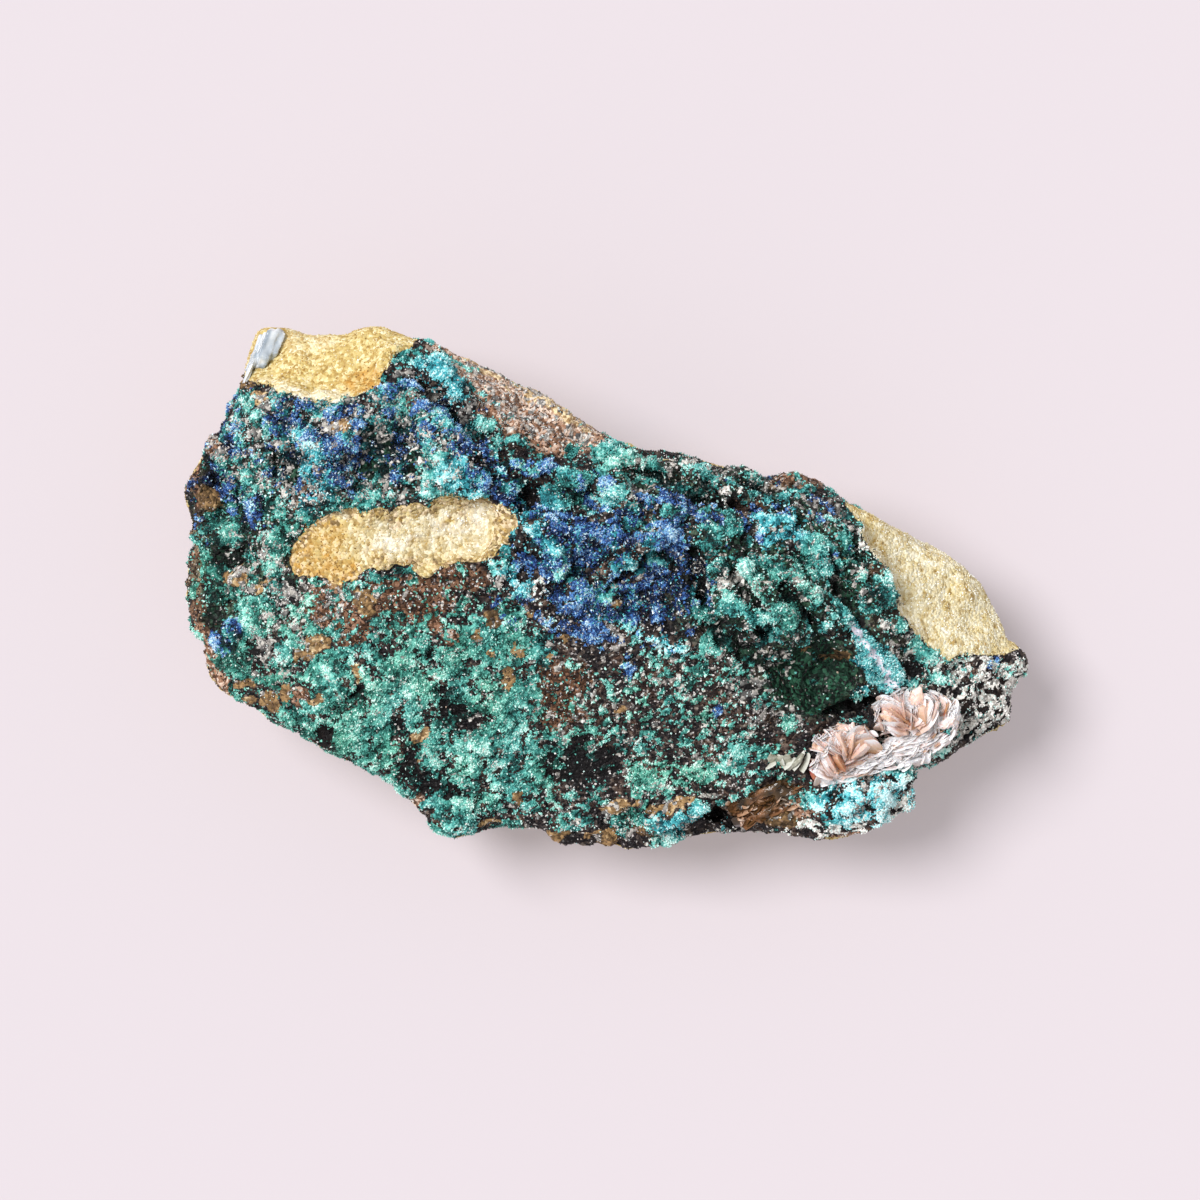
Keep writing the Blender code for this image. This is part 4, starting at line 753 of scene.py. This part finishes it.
surface = stone.mix((stone.value("malachite") + edge).between(0.42, 0.58), surface, green)
surface = stone.mix((stone.value("azurite") + edge).between(0.42, 0.58), surface, blue)
surface = stone.mix((stone.value("azurite") * 0.12 > speck), surface, powder)
surface = stone.mix((stone.value("pale") + edge).between(0.42, 0.58), surface, dull)
bare = (stone.value("sand") + 0.5 * (fine - 0.5)).between(0.42, 0.58)
surface = stone.mix(bare, surface, sandstone)
stone.paint(surface)
stone.put(stone.shader.inputs["Roughness"], 0.42 + gloss * 0.35 + bare * 0.25)
stone.rough((1.0 - middle) * 0.5 + fine * 0.5, 0.30 * MM)
block.data.materials.append(stone.material)
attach(block, "root")
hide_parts("host_rock")

# ---- The small crystals of the crust --------------------------------------------------------------------
# Malachite, azurite, iron oxide and quartz grew on the stone as small crystals, each less than half a
# millimetre across. They stand packed together in druses, joined here in one mesh for each mineral.
MALACHITE_CRYSTALS = 47000
AZURITE_CRYSTALS = 20000
OXIDE_CRYSTALS = 15000
PALE_SPECKS = 9000
SAND_GRAINS = 21000
# A pointed crystal: four corners in the ground and its tip.
CRYSTAL = np.array([(1, 0, -0.4), (0, 1, -0.4), (-1, 0, -0.4), (0, -1, -0.4), (0, 0, 1)])
CRYSTAL_FACES = np.array([(0, 1, 4), (1, 2, 4), (2, 3, 4), (3, 0, 4), (0, 3, 2), (0, 2, 1)])


class Skin:
    """The triangles of a piece, ready to have small crystals sown on them."""

    def __init__(self, piece):
        piece.data.calc_loop_triangles()
        rows = np.empty(len(piece.data.loop_triangles) * 3, dtype=np.int32)
        piece.data.loop_triangles.foreach_get("vertices", rows)
        self.corners = rows.reshape(-1, 3)
        self.stands = points_of(piece)
        self.leans = points_of(piece, "normal")
        edges = self.stands[self.corners[:, 1:]] - self.stands[self.corners[:, :1]]
        self.areas = 0.5 * np.linalg.norm(np.cross(edges[:, 0], edges[:, 1]), axis=1)

    def sow(self, count, weight, seed):
        """Picks places in proportion to a weight for each corner: places, ways out, triangles and dice."""
        dice = np.random.default_rng(seed)
        chance = self.areas * np.clip(weight, 0.0, None)[self.corners].mean(axis=1)
        picked = dice.choice(len(self.corners), count, p=chance / chance.sum())
        shares = dice.dirichlet((1.0, 1.0, 1.0), count)[:, :, None]
        where = (self.stands[self.corners[picked]] * shares).sum(axis=1)
        out = (self.leans[self.corners[picked]] * shares).sum(axis=1)
        return where, out / np.linalg.norm(out, axis=1)[:, None], picked, dice

    def over(self, values, sown):
        """The value at each sown place, from one for each corner."""
        return values[self.corners[sown[2]]].mean(axis=1)


def scatter(sown):
    """One bell-shaped random number for each sown place."""
    return sown[3].normal(size=len(sown[0]))


def druse(name, sown, width, length, slant, sunk, tone, finish, hue=None,
          node="host_rock"):
    """Joins one small crystal for each sown place in one mesh. Widths and lengths are in millimetres."""
    where, out, _, dice = sown
    count = len(where)
    axis = out + slant * dice.normal(size=(count, 3))
    axis /= np.linalg.norm(axis, axis=1)[:, None]
    side = np.cross(axis, dice.normal(size=(count, 3)))
    side /= np.linalg.norm(side, axis=1)[:, None]
    third = np.cross(axis, side)
    widths = MM * width[0] + (MM * width[1] - MM * width[0]) * dice.random(count) ** 2
    flats = widths * (0.55 + 0.45 * dice.random(count))
    lengths = MM * length[0] + (MM * length[1] - MM * length[0]) * dice.random(count) ** 2
    base = where + out * (lengths * (0.5 - sunk))[:, None]
    rows = base[:, None] + 0.5 * (
        CRYSTAL[None, :, :1] * (side * widths[:, None])[:, None]
        + CRYSTAL[None, :, 1:2] * (third * flats[:, None])[:, None]
        + CRYSTAL[None, :, 2:] * (axis * lengths[:, None])[:, None])
    rows = np.clip(rows.reshape(-1, 3), np.array(cad_box[0]), np.array(cad_box[1]))
    faces = (CRYSTAL_FACES[None] + len(CRYSTAL) * np.arange(count)[:, None, None]).reshape(-1, 3)
    mesh = bpy.data.meshes.new(name)
    mesh.from_pydata(rows.tolist(), [], faces.tolist())
    piece = bpy.data.objects.new(name, mesh)
    bpy.context.collection.objects.link(piece)
    mesh.materials.append(finish.material)
    keep(piece, "tone", np.repeat(np.clip(tone, 0.0, 1.0), len(CRYSTAL)))
    if hue is not None:
        keep(piece, "hue", np.repeat(hue, len(CRYSTAL)))
    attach(piece, "root")
    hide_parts(node)


def painted_glints(tone, dice, share):
    """Painted glints: some of the crystals are given the palest tones, as if they caught the light."""
    return np.where(dice.random(len(tone)) < share, 0.86 + 0.14 * dice.random(len(tone)), tone)


# The crystals' tones take the painted relief light, darker in the hollows as painted shade and paler on the
# crests, and a few are painted glints.
crust_skin = Skin(block)
sow = crust_skin.sow
over = crust_skin.over
green_finish = Finish("malachite crystals", Roughness=0.42, Specular_IOR_Level=0.35)
green_finish.paint(malachite_colour(green_finish, green_finish.toned(0.12, 0.12 * MM)))
green_weight = np.where(malachite > 0.3, malachite ** 2, 0.0) * (0.3 + 0.7 * painted_relief_light)
all_green = sow(MALACHITE_CRYSTALS, green_weight, 21)
west = all_green[0][:, 0] < np.median(all_green[0][:, 0])
for name, half in (("malachite_druse_west", west), ("malachite_druse_east", ~west)):
    sown = (all_green[0][half], all_green[1][half], all_green[2][half], all_green[3])
    tone = 0.36 * over(malachite_light, sown) + 0.84 * over(painted_relief_light, sown) + 0.15 * scatter(sown)
    tone = painted_glints(tone - 0.12, sown[3], 0.03)
    druse(name, sown, (0.14, 0.34), (0.20, 0.52), 0.6, 0.35, tone, green_finish, over(hue, sown))

blue_finish = Finish("azurite crystals", Roughness=0.25)
blue_finish.grade(AZURITE_STOPS, 0.12, 0.12 * MM)
blue_weight = np.where(azurite > 0.35, azurite ** 2, 0.0) * (0.3 + 0.7 * painted_relief_light)
sown = sow(AZURITE_CRYSTALS, blue_weight, 23)
tone = 0.40 * over(azurite_light, sown) + 0.76 * over(painted_relief_light, sown) + 0.17 * scatter(sown)
tone = painted_glints(tone - 0.14, sown[3], 0.035)
druse("azurite_druse", sown, (0.18, 0.40), (0.22, 0.56), 0.6, 0.35, tone, blue_finish)

oxide_finish = Finish("iron oxide crystals", Roughness=0.38, Specular_IOR_Level=0.3)
oxide_finish.grade([(0.0, 14, 11, 15), (0.35, 40, 31, 34), (0.55, 84, 60, 46), (0.8, 140, 112, 92),
                    (1.0, 206, 186, 168)], 0.1, 0.12 * MM)
bare_ground = crust * upper * (1.0 - np.clip(malachite + azurite + pale, 0.0, 1.0)) * (1.0 - 0.7 * ochre)
bare_ground *= 1.0 - 0.7 * dark * (dark_light > 0.6)
sown = sow(OXIDE_CRYSTALS, bare_ground, 24)
tone = 0.05 + 0.55 * over(rust * rust_light, sown) + 0.25 * over(painted_relief_light, sown) + 0.4 * over(ochre, sown)
tone = painted_glints(tone + 0.14 * scatter(sown), sown[3], 0.008)
druse("oxide_druse", sown, (0.16, 0.36), (0.16, 0.32), 0.8, 0.35, tone, oxide_finish)

speck_finish = Finish("pale quartz and chrysocolla specks", Roughness=0.35)
speck_finish.paint(speck_finish.ramp(
    speck_finish.value("tone"), (0.0, 96, 88, 92), (0.4, 160, 148, 146), (0.7, 214, 208, 206),
    (0.85, 190, 232, 226), (1.0, 244, 244, 240)))
speck_weight = (0.04 + 0.9 * pale * pale_light) * (0.2 + 0.8 * painted_relief_light) * (1.0 - 0.85 * dark * dark_light)
sown = sow(PALE_SPECKS, crust * upper * speck_weight, 25)
tone = 0.30 + 0.6 * over(np.maximum(pale_light, 0.5), sown) + 0.18 * scatter(sown)
druse("pale_specks", sown, (0.14, 0.34), (0.14, 0.34), 0.9, 0.30, tone, speck_finish)

sand_finish = Finish("sandstone grains", Roughness=0.7)
sand_finish.grade([(0.0, 124, 88, 36), (0.20, 168, 126, 58), (0.45, 194, 169, 110), (0.68, 215, 203, 162),
                   (0.82, 227, 223, 202), (1.0, 245, 245, 240)], 0.15, 0.15 * MM)
sown = sow(SAND_GRAINS, np.where(upper > 0.4, sand, 0.35 * sand) * (1.0 - 0.7 * rim), 26)
tone = 0.46 + 0.17 * scatter(sown) + 0.26 * over(lumps(place, 1.2, 32), sown)
# The grains are paler in the bleached patches and in the painted light on the right end face, and darker on
# the window's rim.
tone += 0.75 * over(bleached * (bleached_light - 0.5), sown) - 0.22 * over(rim, sown)
druse("sand_grains", sown, (0.16, 0.33), (0.13, 0.27), 0.4, 0.45, tone, sand_finish)

# ---- The pink baryte --------------------------------------------------------------------------------------
# Two open fans of thin pink and honey blades with frosted white rims, over a bank of white plates that
# stand on edge. They grew as one group on the lower right corner, round a heart of massive baryte.
BARYTE_STOPS = [
    (0.00, 140, 52, 48), (0.14, 204, 116, 104), (0.25, 188, 130, 80), (0.36, 216, 178, 154),
    (0.50, 228, 196, 184), (0.68, 242, 224, 220), (0.84, 254, 251, 251),
]
# A fan: apex X, Y, Z, first and last direction, number of books of sheets, and their length and height.
PINK_FANS = [
    (29.8, -13.6, 17.0, 178, 46, 17, 4.2, 3.3), (23.3, -16.6, 17.1, 166, 34, 15, 3.7, 3.1),
    (22.8, -18.3, 16.2, 160, 108, 8, 3.3, 2.7), (31.7, -13.1, 16.7, 96, 22, 8, 2.9, 3.0),
]
# Fat honey and amber lenses between the blades: foot X, Y, tip X, Y, height of the foot, thickness and tone.
LENSES = [
    (29.6, -13.1, 27.6, -11.5, 18.9, .55, .22), (31.2, -12.9, 30.9, -11.3, 18.8, 1.3, .25),
    (29.2, -12.6, 28.9, -10.8, 18.9, .6, .36), (33.2, -12.2, 33.6, -10.9, 17.6, .9, .12),
    (31.9, -12.8, 32.5, -11.0, 18.7, .6, .44), (23.4, -16.0, 22.6, -13.9, 18.7, 1.2, .33),
    (23.9, -15.8, 24.2, -13.8, 18.7, 1.1, .31), (24.2, -16.4, 25.6, -15.2, 18.7, 1.0, .40),
    (20.0, -17.2, 20.5, -18.7, 16.6, .7, .02), (22.3, -17.6, 21.3, -15.8, 18.4, .7, .40),
    (27.0, -13.6, 26.4, -12.2, 18.7, .6, .40), (23.2, -17.6, 22.3, -16.2, 18.4, .9, .18),
]
# The line of the bank from left to right: X, Y, Z and half width.
BANK_LINE = [
    (21.2, -18.7, 16.4, .5), (23.6, -18.2, 16.9, .8), (26.4, -16.9, 17.1, 1.2), (29.1, -16.0, 16.9, 1.5),
    (31.9, -14.8, 16.9, 1.3), (33.5, -13.1, 17.8, 1.0), (33.9, -11.5, 17.7, .7),
]
BANK_PLATES = 640
BANK_TURN = 21.0
# How high the fans stand over their apex, and how many small plates lie along the rim of each book.
FAN_LIFT = 0.75
RIM_PLATES = 4
# Where a blade has its cross-sections, as shares of its length.
BLADE_STATIONS = (0.0, 0.3, 0.6, 0.8, 0.93, 1.0)


def add_blade(parts, foot, tip, height, thick, bend, lean, colour, edge, frost_from=0.0):
    """Adds a thin blade that stands on edge along a line from foot to tip, with its top edge given the pale
    tone edge: frost on the pink blades, and painted glints on the brown plates.
    """
    rows, faces, tones = parts
    foot, tip = np.array(foot), np.array(tip)
    way = (tip - foot) / np.linalg.norm(tip - foot)
    side = np.cross(way, (0.0, 0.0, 1.0))
    side /= np.linalg.norm(side)
    up = np.cross(side, way) + lean * side
    first = len(rows)
    for share in BLADE_STATIONS:
        middle = foot + (tip - foot) * share + side * bend * share * share
        tall = 0.5 * height * (0.45 + 0.55 * math.sin(math.pi * min(1.0, 0.18 + 0.72 * share)))
        tall *= 1.0 if share < 0.95 else 0.62
        wide = 0.5 * thick * (0.55 + 0.45 * math.sin(math.pi * (0.12 + 0.78 * share)))
        rows += [middle + up * tall, middle + side * wide, middle - up * tall, middle - side * wide]
        mid_tone = colour + 0.18 * share
        frosted = edge and share >= frost_from
        tones += [max(edge, mid_tone) if frosted else mid_tone, mid_tone, colour, mid_tone]
    for i in range(len(BLADE_STATIONS) - 1):
        for j in range(4):
            a, b = first + 4 * i + j, first + 4 * i + (j + 1) % 4
            faces.append((a, b, b + 4, a + 4))
    last = first + 4 * (len(BLADE_STATIONS) - 1)
    faces.append((first + 3, first + 2, first + 1, first))
    faces.append((last, last + 1, last + 2, last + 3))


def blade_piece(name, parts, finish, node):
    """Makes one mesh of the blades, facing out, in millimetres up to here."""
    rows, faces, tones = parts
    rows = np.clip(np.array(rows) * MM, np.array(cad_box[0]), np.array(cad_box[1]))
    mesh = bpy.data.meshes.new(name)
    mesh.from_pydata(rows.tolist(), [], faces)
    piece = bpy.data.objects.new(name, mesh)
    bpy.context.collection.objects.link(piece)
    keep(piece, "tone", np.clip(tones, 0.0, 1.0))
    bpy.ops.object.select_all(action="DESELECT")
    piece.select_set(True)
    bpy.context.view_layer.objects.active = piece
    bpy.ops.object.mode_set(mode="EDIT")
    bpy.ops.mesh.select_all(action="SELECT")
    bpy.ops.mesh.normals_make_consistent(inside=False)
    bpy.ops.object.mode_set(mode="OBJECT")
    mesh.materials.append(finish.material)
    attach(piece, "root")
    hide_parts(node)
    return piece


def heart(node, name, voxel, finish, tone_at, swell=0.0, rough=0.10):
    """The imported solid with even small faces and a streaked, uneven skin, for the blades to stand on."""
    piece = solid_of(node, name)
    even = piece.modifiers.new("even faces", "REMESH")
    even.mode = "VOXEL"
    even.voxel_size = voxel
    bpy.ops.object.modifier_apply(modifier=even.name)
    spots = points_of(piece) / MM
    relief = rough * (lumps(spots, 0.8, 41) + 0.7 * lumps(spots, 0.4, 42)) + swell
    spots = spots + points_of(piece, "normal") * relief[:, None]
    set_points(piece, spots * MM)
    keep(piece, "tone", np.clip(tone_at(spots), 0.0, 1.0))
    piece.data.materials.append(finish.material)
    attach(piece, "root")
    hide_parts(node)
    return piece


baryte_finish = Finish("frosted pink baryte", Roughness=0.34, Subsurface_Weight=0.25, Subsurface_Scale=0.0008)
baryte_finish.put(baryte_finish.shader.inputs["Subsurface Radius"], (1.0, 0.5, 0.3))
baryte_finish.grade(BARYTE_STOPS, 0.22, 0.25 * MM, 3.0)
baryte_finish.rough(baryte_finish.cloud(0.2 * MM), 0.05 * MM)


def pink_tone(spots):
    """Streaks that run out from each fan's apex and along the bank, frosted towards the rims."""
    turn = math.radians(BANK_TURN)
    aside = spots[:, 1] * math.cos(turn) - spots[:, 0] * math.sin(turn)
    along = spots[:, 0] * math.cos(turn) + spots[:, 1] * math.sin(turn)
    streaks = lumps(np.stack([along * 0.5, aside * 4.5, spots[:, 2] * 2.0], axis=1), 1.0, 43)
    tone = 0.66 + 0.26 * streaks
    for x, y, z, _, _, _, length, _ in PINK_FANS:
        away = spots[:, :2] - (x, y)
        reach = np.hypot(away[:, 0], away[:, 1]) / length
        angle = np.arctan2(away[:, 1], away[:, 0])
        rays = lumps(np.stack([angle * 9.0, reach * 1.6, reach * 0.0], axis=1), 1.0, 50)
        tone = np.where((reach < 1.1) & (away @ (-0.36, 0.93) > 0.0), 0.30 + 0.24 * reach + 0.20 * rays, tone)
    return tone


heart("pink_baryte", "pink_baryte_heart", 0.24 * MM, baryte_finish, pink_tone, -0.22, 0.18)
dice = np.random.default_rng(51)
parts = ([], [], [])
for x, y, z, first, last, books, length, height in PINK_FANS:
    for book in range(books):
        way = math.radians(first + (last - first) * (book + dice.uniform(0.1, 0.9)) / books)
        book_lean = dice.uniform(-0.9, 0.9)
        book_colour = dice.choice((0.32, 0.40, 0.48, 0.62), p=(0.25, 0.3, 0.25, 0.2))
        book_reach = length * dice.uniform(0.62, 1.04)
        book_apex = np.array((x, y, 0.0)) + dice.uniform(-0.55, 0.55, size=3) * (1.0, 1.0, 0.8)
        sheets = dice.integers(3, 8)
        for sheet in range(sheets):
            aside = (sheet - 0.5 * sheets) * 0.24 + dice.uniform(-0.06, 0.06)
            angle = way + aside / length + dice.uniform(-0.05, 0.05)
            across = np.array((-math.sin(way), math.cos(way), 0.0)) * aside
            out = np.array((math.cos(angle), math.sin(angle), 0.0))
            reach = book_reach * dice.uniform(0.88, 1.0)
            start = length * dice.uniform(0.08, 0.42)
            lift = np.array((0.0, 0.0, z + FAN_LIFT + 0.12 * length))
            foot = book_apex + 0.5 * across + out * start + lift
            tip = book_apex + across + out * reach + lift + (0.0, 0.0, 0.22 * book_reach)
            add_blade(parts, foot, tip, height * dice.uniform(0.5, 0.85), dice.uniform(0.12, 0.34),
                      dice.uniform(-0.35, 0.35), book_lean + dice.uniform(-0.2, 0.2),
                      book_colour + dice.uniform(-0.08, 0.10), 1.0 if dice.random() < 0.75 else 0.0, 0.55)
        for _ in range(RIM_PLATES):
            turn = way + math.radians(90) + dice.uniform(-0.45, 0.45)
            out = np.array((math.cos(way), math.sin(way), 0.0)) * (book_reach * dice.uniform(0.85, 1.0))
            out += np.array((-math.sin(way), math.cos(way), 0.0)) * dice.uniform(-0.5, 0.5)
            middle = book_apex + out + (0.0, 0.0, z + FAN_LIFT + 0.12 * length + 0.22 * book_reach)
            half = dice.uniform(0.25, 0.5)
            run = half * np.array((math.cos(turn), math.sin(turn), dice.uniform(-0.3, 0.3)))
            add_blade(parts, middle - run, middle + run, height * dice.uniform(0.3, 0.6),
                      dice.uniform(0.10, 0.18), dice.uniform(0.05, 0.2), dice.uniform(-0.2, 0.4),
                      dice.uniform(0.5, 0.75), 1.0)
for x1, y1, x2, y2, z, thick, colour in LENSES:
    add_blade(parts, (x1, y1, z), (x2, y2, z + 0.7), 2.9, thick, 0.0, 0.0, colour, 0.0)
bank_way = np.array((math.cos(math.radians(BANK_TURN)), math.sin(math.radians(BANK_TURN)), 0.0))
bank_side = np.array((-bank_way[1], bank_way[0], 0.0))
bank = np.array(BANK_LINE)
for _ in range(BANK_PLATES):
    along = dice.uniform(0.0, len(bank) - 1.001)
    here, there = bank[int(along)], bank[int(along) + 1]
    spot = here + (there - here) * (along % 1.0)
    turn = math.atan2(there[1] - here[1], there[0] - here[0])
    aside = dice.uniform(-1.0, 1.0) * spot[3]
    middle = spot[:3] + aside * np.array((-math.sin(turn), math.cos(turn), 0.42))
    middle[2] += dice.uniform(-0.25, 0.35)
    half = dice.uniform(0.2, 1.1)
    turn += dice.normal() * 0.30
    run = half * np.array((math.cos(turn), math.sin(turn), dice.uniform(-0.2, 0.2)))
    colour = dice.choice((0.30, 0.55, 0.72, 0.90), p=(0.12, 0.20, 0.30, 0.38))
    add_blade(parts, middle - run, middle + run, dice.uniform(1.1, 2.0), dice.uniform(0.10, 0.26),
              dice.uniform(-0.3, 0.3), dice.uniform(-0.8, 0.5), colour, 1.0 if dice.random() < 0.65 else 0.0)
blade_piece("pink_baryte_blades", parts, baryte_finish, "pink_baryte")

# ---- The brown baryte -------------------------------------------------------------------------------------
# A wedge of rust brown and honey plates stacked on edge beside the pink group, glassy and chipped.
BROWN_STOPS = [
    (0.00, 28, 19, 11), (0.22, 70, 50, 27), (0.42, 102, 70, 43), (0.60, 138, 97, 68), (0.80, 194, 156, 128),
    (1.00, 246, 234, 222),
]
BROWN_PLATES = 190
WEDGE_MIDDLE = (15.9, -21.0, 14.9)
brown_finish = Finish("brown baryte", Roughness=0.2)
brown_finish.grade(BROWN_STOPS, 0.30, 0.35 * MM, 3.0)
brown_finish.rough(brown_finish.cloud(0.3 * MM), 0.08 * MM)
heart("brown_baryte", "brown_baryte_heart", 0.26 * MM, brown_finish,
      lambda spots: 0.30 + 0.30 * lumps(spots, 0.9, 44) + 0.20 * lumps(spots, 0.4, 45), -0.15, 0.2)
parts = ([], [], [])
for _ in range(BROWN_PLATES):
    along = dice.uniform(-3.6, 3.7)
    aside = dice.uniform(-1.4, 1.3)
    middle = np.array(WEDGE_MIDDLE) + bank_way * along + bank_side * aside
    middle[2] += 0.55 * aside + dice.uniform(-0.3, 0.3)
    half = dice.uniform(0.25, 0.85)
    turn = math.radians(BANK_TURN) + dice.normal() * 0.6
    run = half * np.array((math.cos(turn), math.sin(turn), dice.uniform(-0.2, 0.2)))
    # About a quarter of the plates get painted glints: pale top edges from a third of their length on.
    add_blade(parts, middle - run, middle + run, dice.uniform(1.0, 2.2), dice.uniform(0.2, 0.65),
              dice.uniform(-0.3, 0.3), dice.uniform(-0.9, 0.7), dice.uniform(0.05, 0.75),
              dice.uniform(0.8, 1.0) if dice.random() < 0.28 else 0.0, 0.3)
blade_piece("brown_baryte_plates", parts, brown_finish, "brown_baryte")

# ---- The pale plates --------------------------------------------------------------------------------------
# A few small grey-green plates, clear as thin glass, that stand up between the crust and the pink group.
PALE_STOPS = [
    (0.00, 98, 96, 80), (0.35, 156, 154, 134), (0.65, 198, 196, 180), (1.00, 246, 246, 238),
]
# Thin slivers that lean on the plates: X, Y, turn, half length, height and tone.
SLIVERS = [
    (18.6, -16.6, 62, 1.1, 2.0, .8), (19.3, -16.9, 70, 1.0, 1.8, .6), (17.8, -16.9, 48, .8, 1.6, .7),
    (16.9, -16.8, 118, .6, 1.2, .5), (18.2, -15.8, 20, .5, 1.1, .9), (16.0, -17.2, 30, .6, 1.1, .55),
]
SLIVER_HEIGHT = 17.4
pale_finish = Finish("pale plates", Roughness=0.22, Transmission_Weight=0.25, IOR=1.6)
pale_finish.grade(PALE_STOPS, 0.25, 0.4 * MM)
heart("pale_plates", "pale_plates_crystals", 0.14 * MM, pale_finish,
      lambda spots: 0.50 + 0.22 * lumps(spots, 0.6, 46), -0.03)
parts = ([], [], [])
for x, y, turn, half, tall, colour in SLIVERS:
    run = half * np.array((math.cos(math.radians(turn)), math.sin(math.radians(turn)), 0.2))
    middle = np.array((x, y, SLIVER_HEIGHT))
    add_blade(parts, middle - run, middle + run, tall, 0.22, 0.1, 0.55, colour, 0.95)
blade_piece("pale_plates_slivers", parts, pale_finish, "pale_plates")

# ---- The coated blade -------------------------------------------------------------------------------------
# A long pale blade that points up the slope from the pink group. Malachite has grown along its edges and
# left its middle lilac white.
BLADE_FOOT, BLADE_TIP = (28.2, -9.4), (23.2, -2.5)
COAT_CRYSTALS = 3600
COAT_HUE = 0.8
COAT_STOPS = [
    (0.00, 14, 44, 42), (0.30, 44, 122, 118), (0.50, 130, 190, 194), (0.70, 182, 178, 192),
    (1.00, 232, 226, 232),
]


def blade_middle(spots):
    """1 along the middle of the blade, 0 at its edges."""
    off = off_line(spots, [BLADE_FOOT, BLADE_TIP])
    return 1.0 - smooth(off + 0.45 * lumps(spots, 0.6, 47), 0.25, 0.75)


coat_finish = Finish("coated blade", Roughness=0.38)
coat_finish.grade(COAT_STOPS, 0.25, 0.25 * MM)
blade = heart("coated_blade", "coated_blade_crystal", 0.20 * MM, coat_finish,
              lambda spots: 0.12 + 0.7 * blade_middle(spots) + 0.25 * lumps(spots, 0.4, 48), -0.12, 0.34)
blade_skin = Skin(blade)
spots = blade_skin.stands / MM
sown = blade_skin.sow(COAT_CRYSTALS, (1.08 - blade_middle(spots)) * (blade_skin.leans[:, 2] > -0.3), 52)
tone = 0.60 + 0.26 * blade_skin.over(lumps(spots, 0.7, 53), sown) + 0.20 * scatter(sown)
druse("coated_blade_druse", sown, (0.14, 0.32), (0.20, 0.62), 0.8, 0.35, tone, green_finish,
      np.full(COAT_CRYSTALS, COAT_HUE), "coated_blade")

# ---- The corner crystal -----------------------------------------------------------------------------------
# A little sheaf of blue-grey prisms, cloudy and striped along their length, on the top left corner.
SPLINTERS = 34
GREY_STOPS = [
    (0.00, 120, 128, 138), (0.30, 156, 168, 180), (0.58, 198, 206, 214), (0.90, 244, 246, 248),
]
grey_finish = Finish("blue grey crystal", Roughness=0.24, Transmission_Weight=0.2, IOR=1.55)
grey_finish.grade(GREY_STOPS, 0.2, 0.3 * MM)


def prism_stripes(spots):
    """Pale stripes along the prisms, which lean back to the left."""
    along = np.array((0.26, 0.86, -0.44))
    across = spots - np.outer(spots @ along, along) * 0.85
    return 0.52 + 0.50 * lumps(across, 0.45, 49)


heart("corner_crystal", "corner_crystal_prisms", 0.16 * MM, grey_finish, prism_stripes, 0.03)
parts = ([], [], [])
stands = points_of(block) / MM
for _ in range(SPLINTERS):
    share = dice.random()
    x = -35.7 + 2.0 * share + dice.uniform(-0.35, 0.25)
    y = 21.4 + 4.0 * share + dice.uniform(-0.3, 0.3)
    near = np.hypot(stands[:, 0] - x, stands[:, 1] - y) < 0.45
    if not near.any():
        continue
    middle = np.array((x, y, stands[near, 2].max()))
    run = dice.uniform(0.5, 1.1) * np.array((0.36, 0.86, -0.30)) + dice.normal(size=3) * 0.08
    add_blade(parts, middle - run, middle + run, dice.uniform(0.5, 0.9), dice.uniform(0.25, 0.5), 0.0,
              dice.uniform(-0.4, 0.4), dice.uniform(0.25, 0.75), dice.uniform(0.8, 1.0))
blade_piece("corner_crystal_splinters", parts, grey_finish, "corner_crystal")

# ---- Floor, light and camera ----------------------------------------------------------------------------
# The specimen lies on pale paper under one broad soft lamp, with even daylight round it.
bpy.ops.mesh.primitive_plane_add(size=4.0)
floor = bpy.context.object
floor.name = "floor"
paper = Finish("pale paper", Roughness=1.0)
paper.paint((0.409, 0.368, 0.391, 1.0))
paper.put(paper.shader.inputs["Emission Color"], (1.0, 0.90, 0.955, 1.0))
paper.put(paper.shader.inputs["Emission Strength"], 0.22)
floor.data.materials.append(paper.material)

sky = bpy.context.scene.world or bpy.data.worlds.new("daylight")
bpy.context.scene.world = sky
sky.use_nodes = True
sky.node_tree.nodes["Background"].inputs["Color"].default_value = (1.0, 1.0, 1.0, 1.0)
sky.node_tree.nodes["Background"].inputs["Strength"].default_value = 0.62

LAMP_TOWARDS = (-0.27, 0.15, 0.50)
bpy.ops.object.light_add(type="SUN", location=LAMP_TOWARDS)
lamp = bpy.context.object
lamp.data.angle = math.radians(26.0)
lamp.data.energy = 3.6
lean = math.atan2(math.hypot(LAMP_TOWARDS[0], LAMP_TOWARDS[1]), LAMP_TOWARDS[2])
lamp.rotation_euler = (lean, 0.0, math.atan2(LAMP_TOWARDS[0], -LAMP_TOWARDS[1]))

bpy.ops.object.camera_add(location=(-0.0009, -0.0009, 0.464), rotation=(0.0, 0.0, 0.0))
camera = bpy.context.object
camera.data.lens = 135.0
camera.data.sensor_width = 36.0
bpy.context.scene.camera = camera
bpy.context.scene.view_settings.view_transform = "Standard"
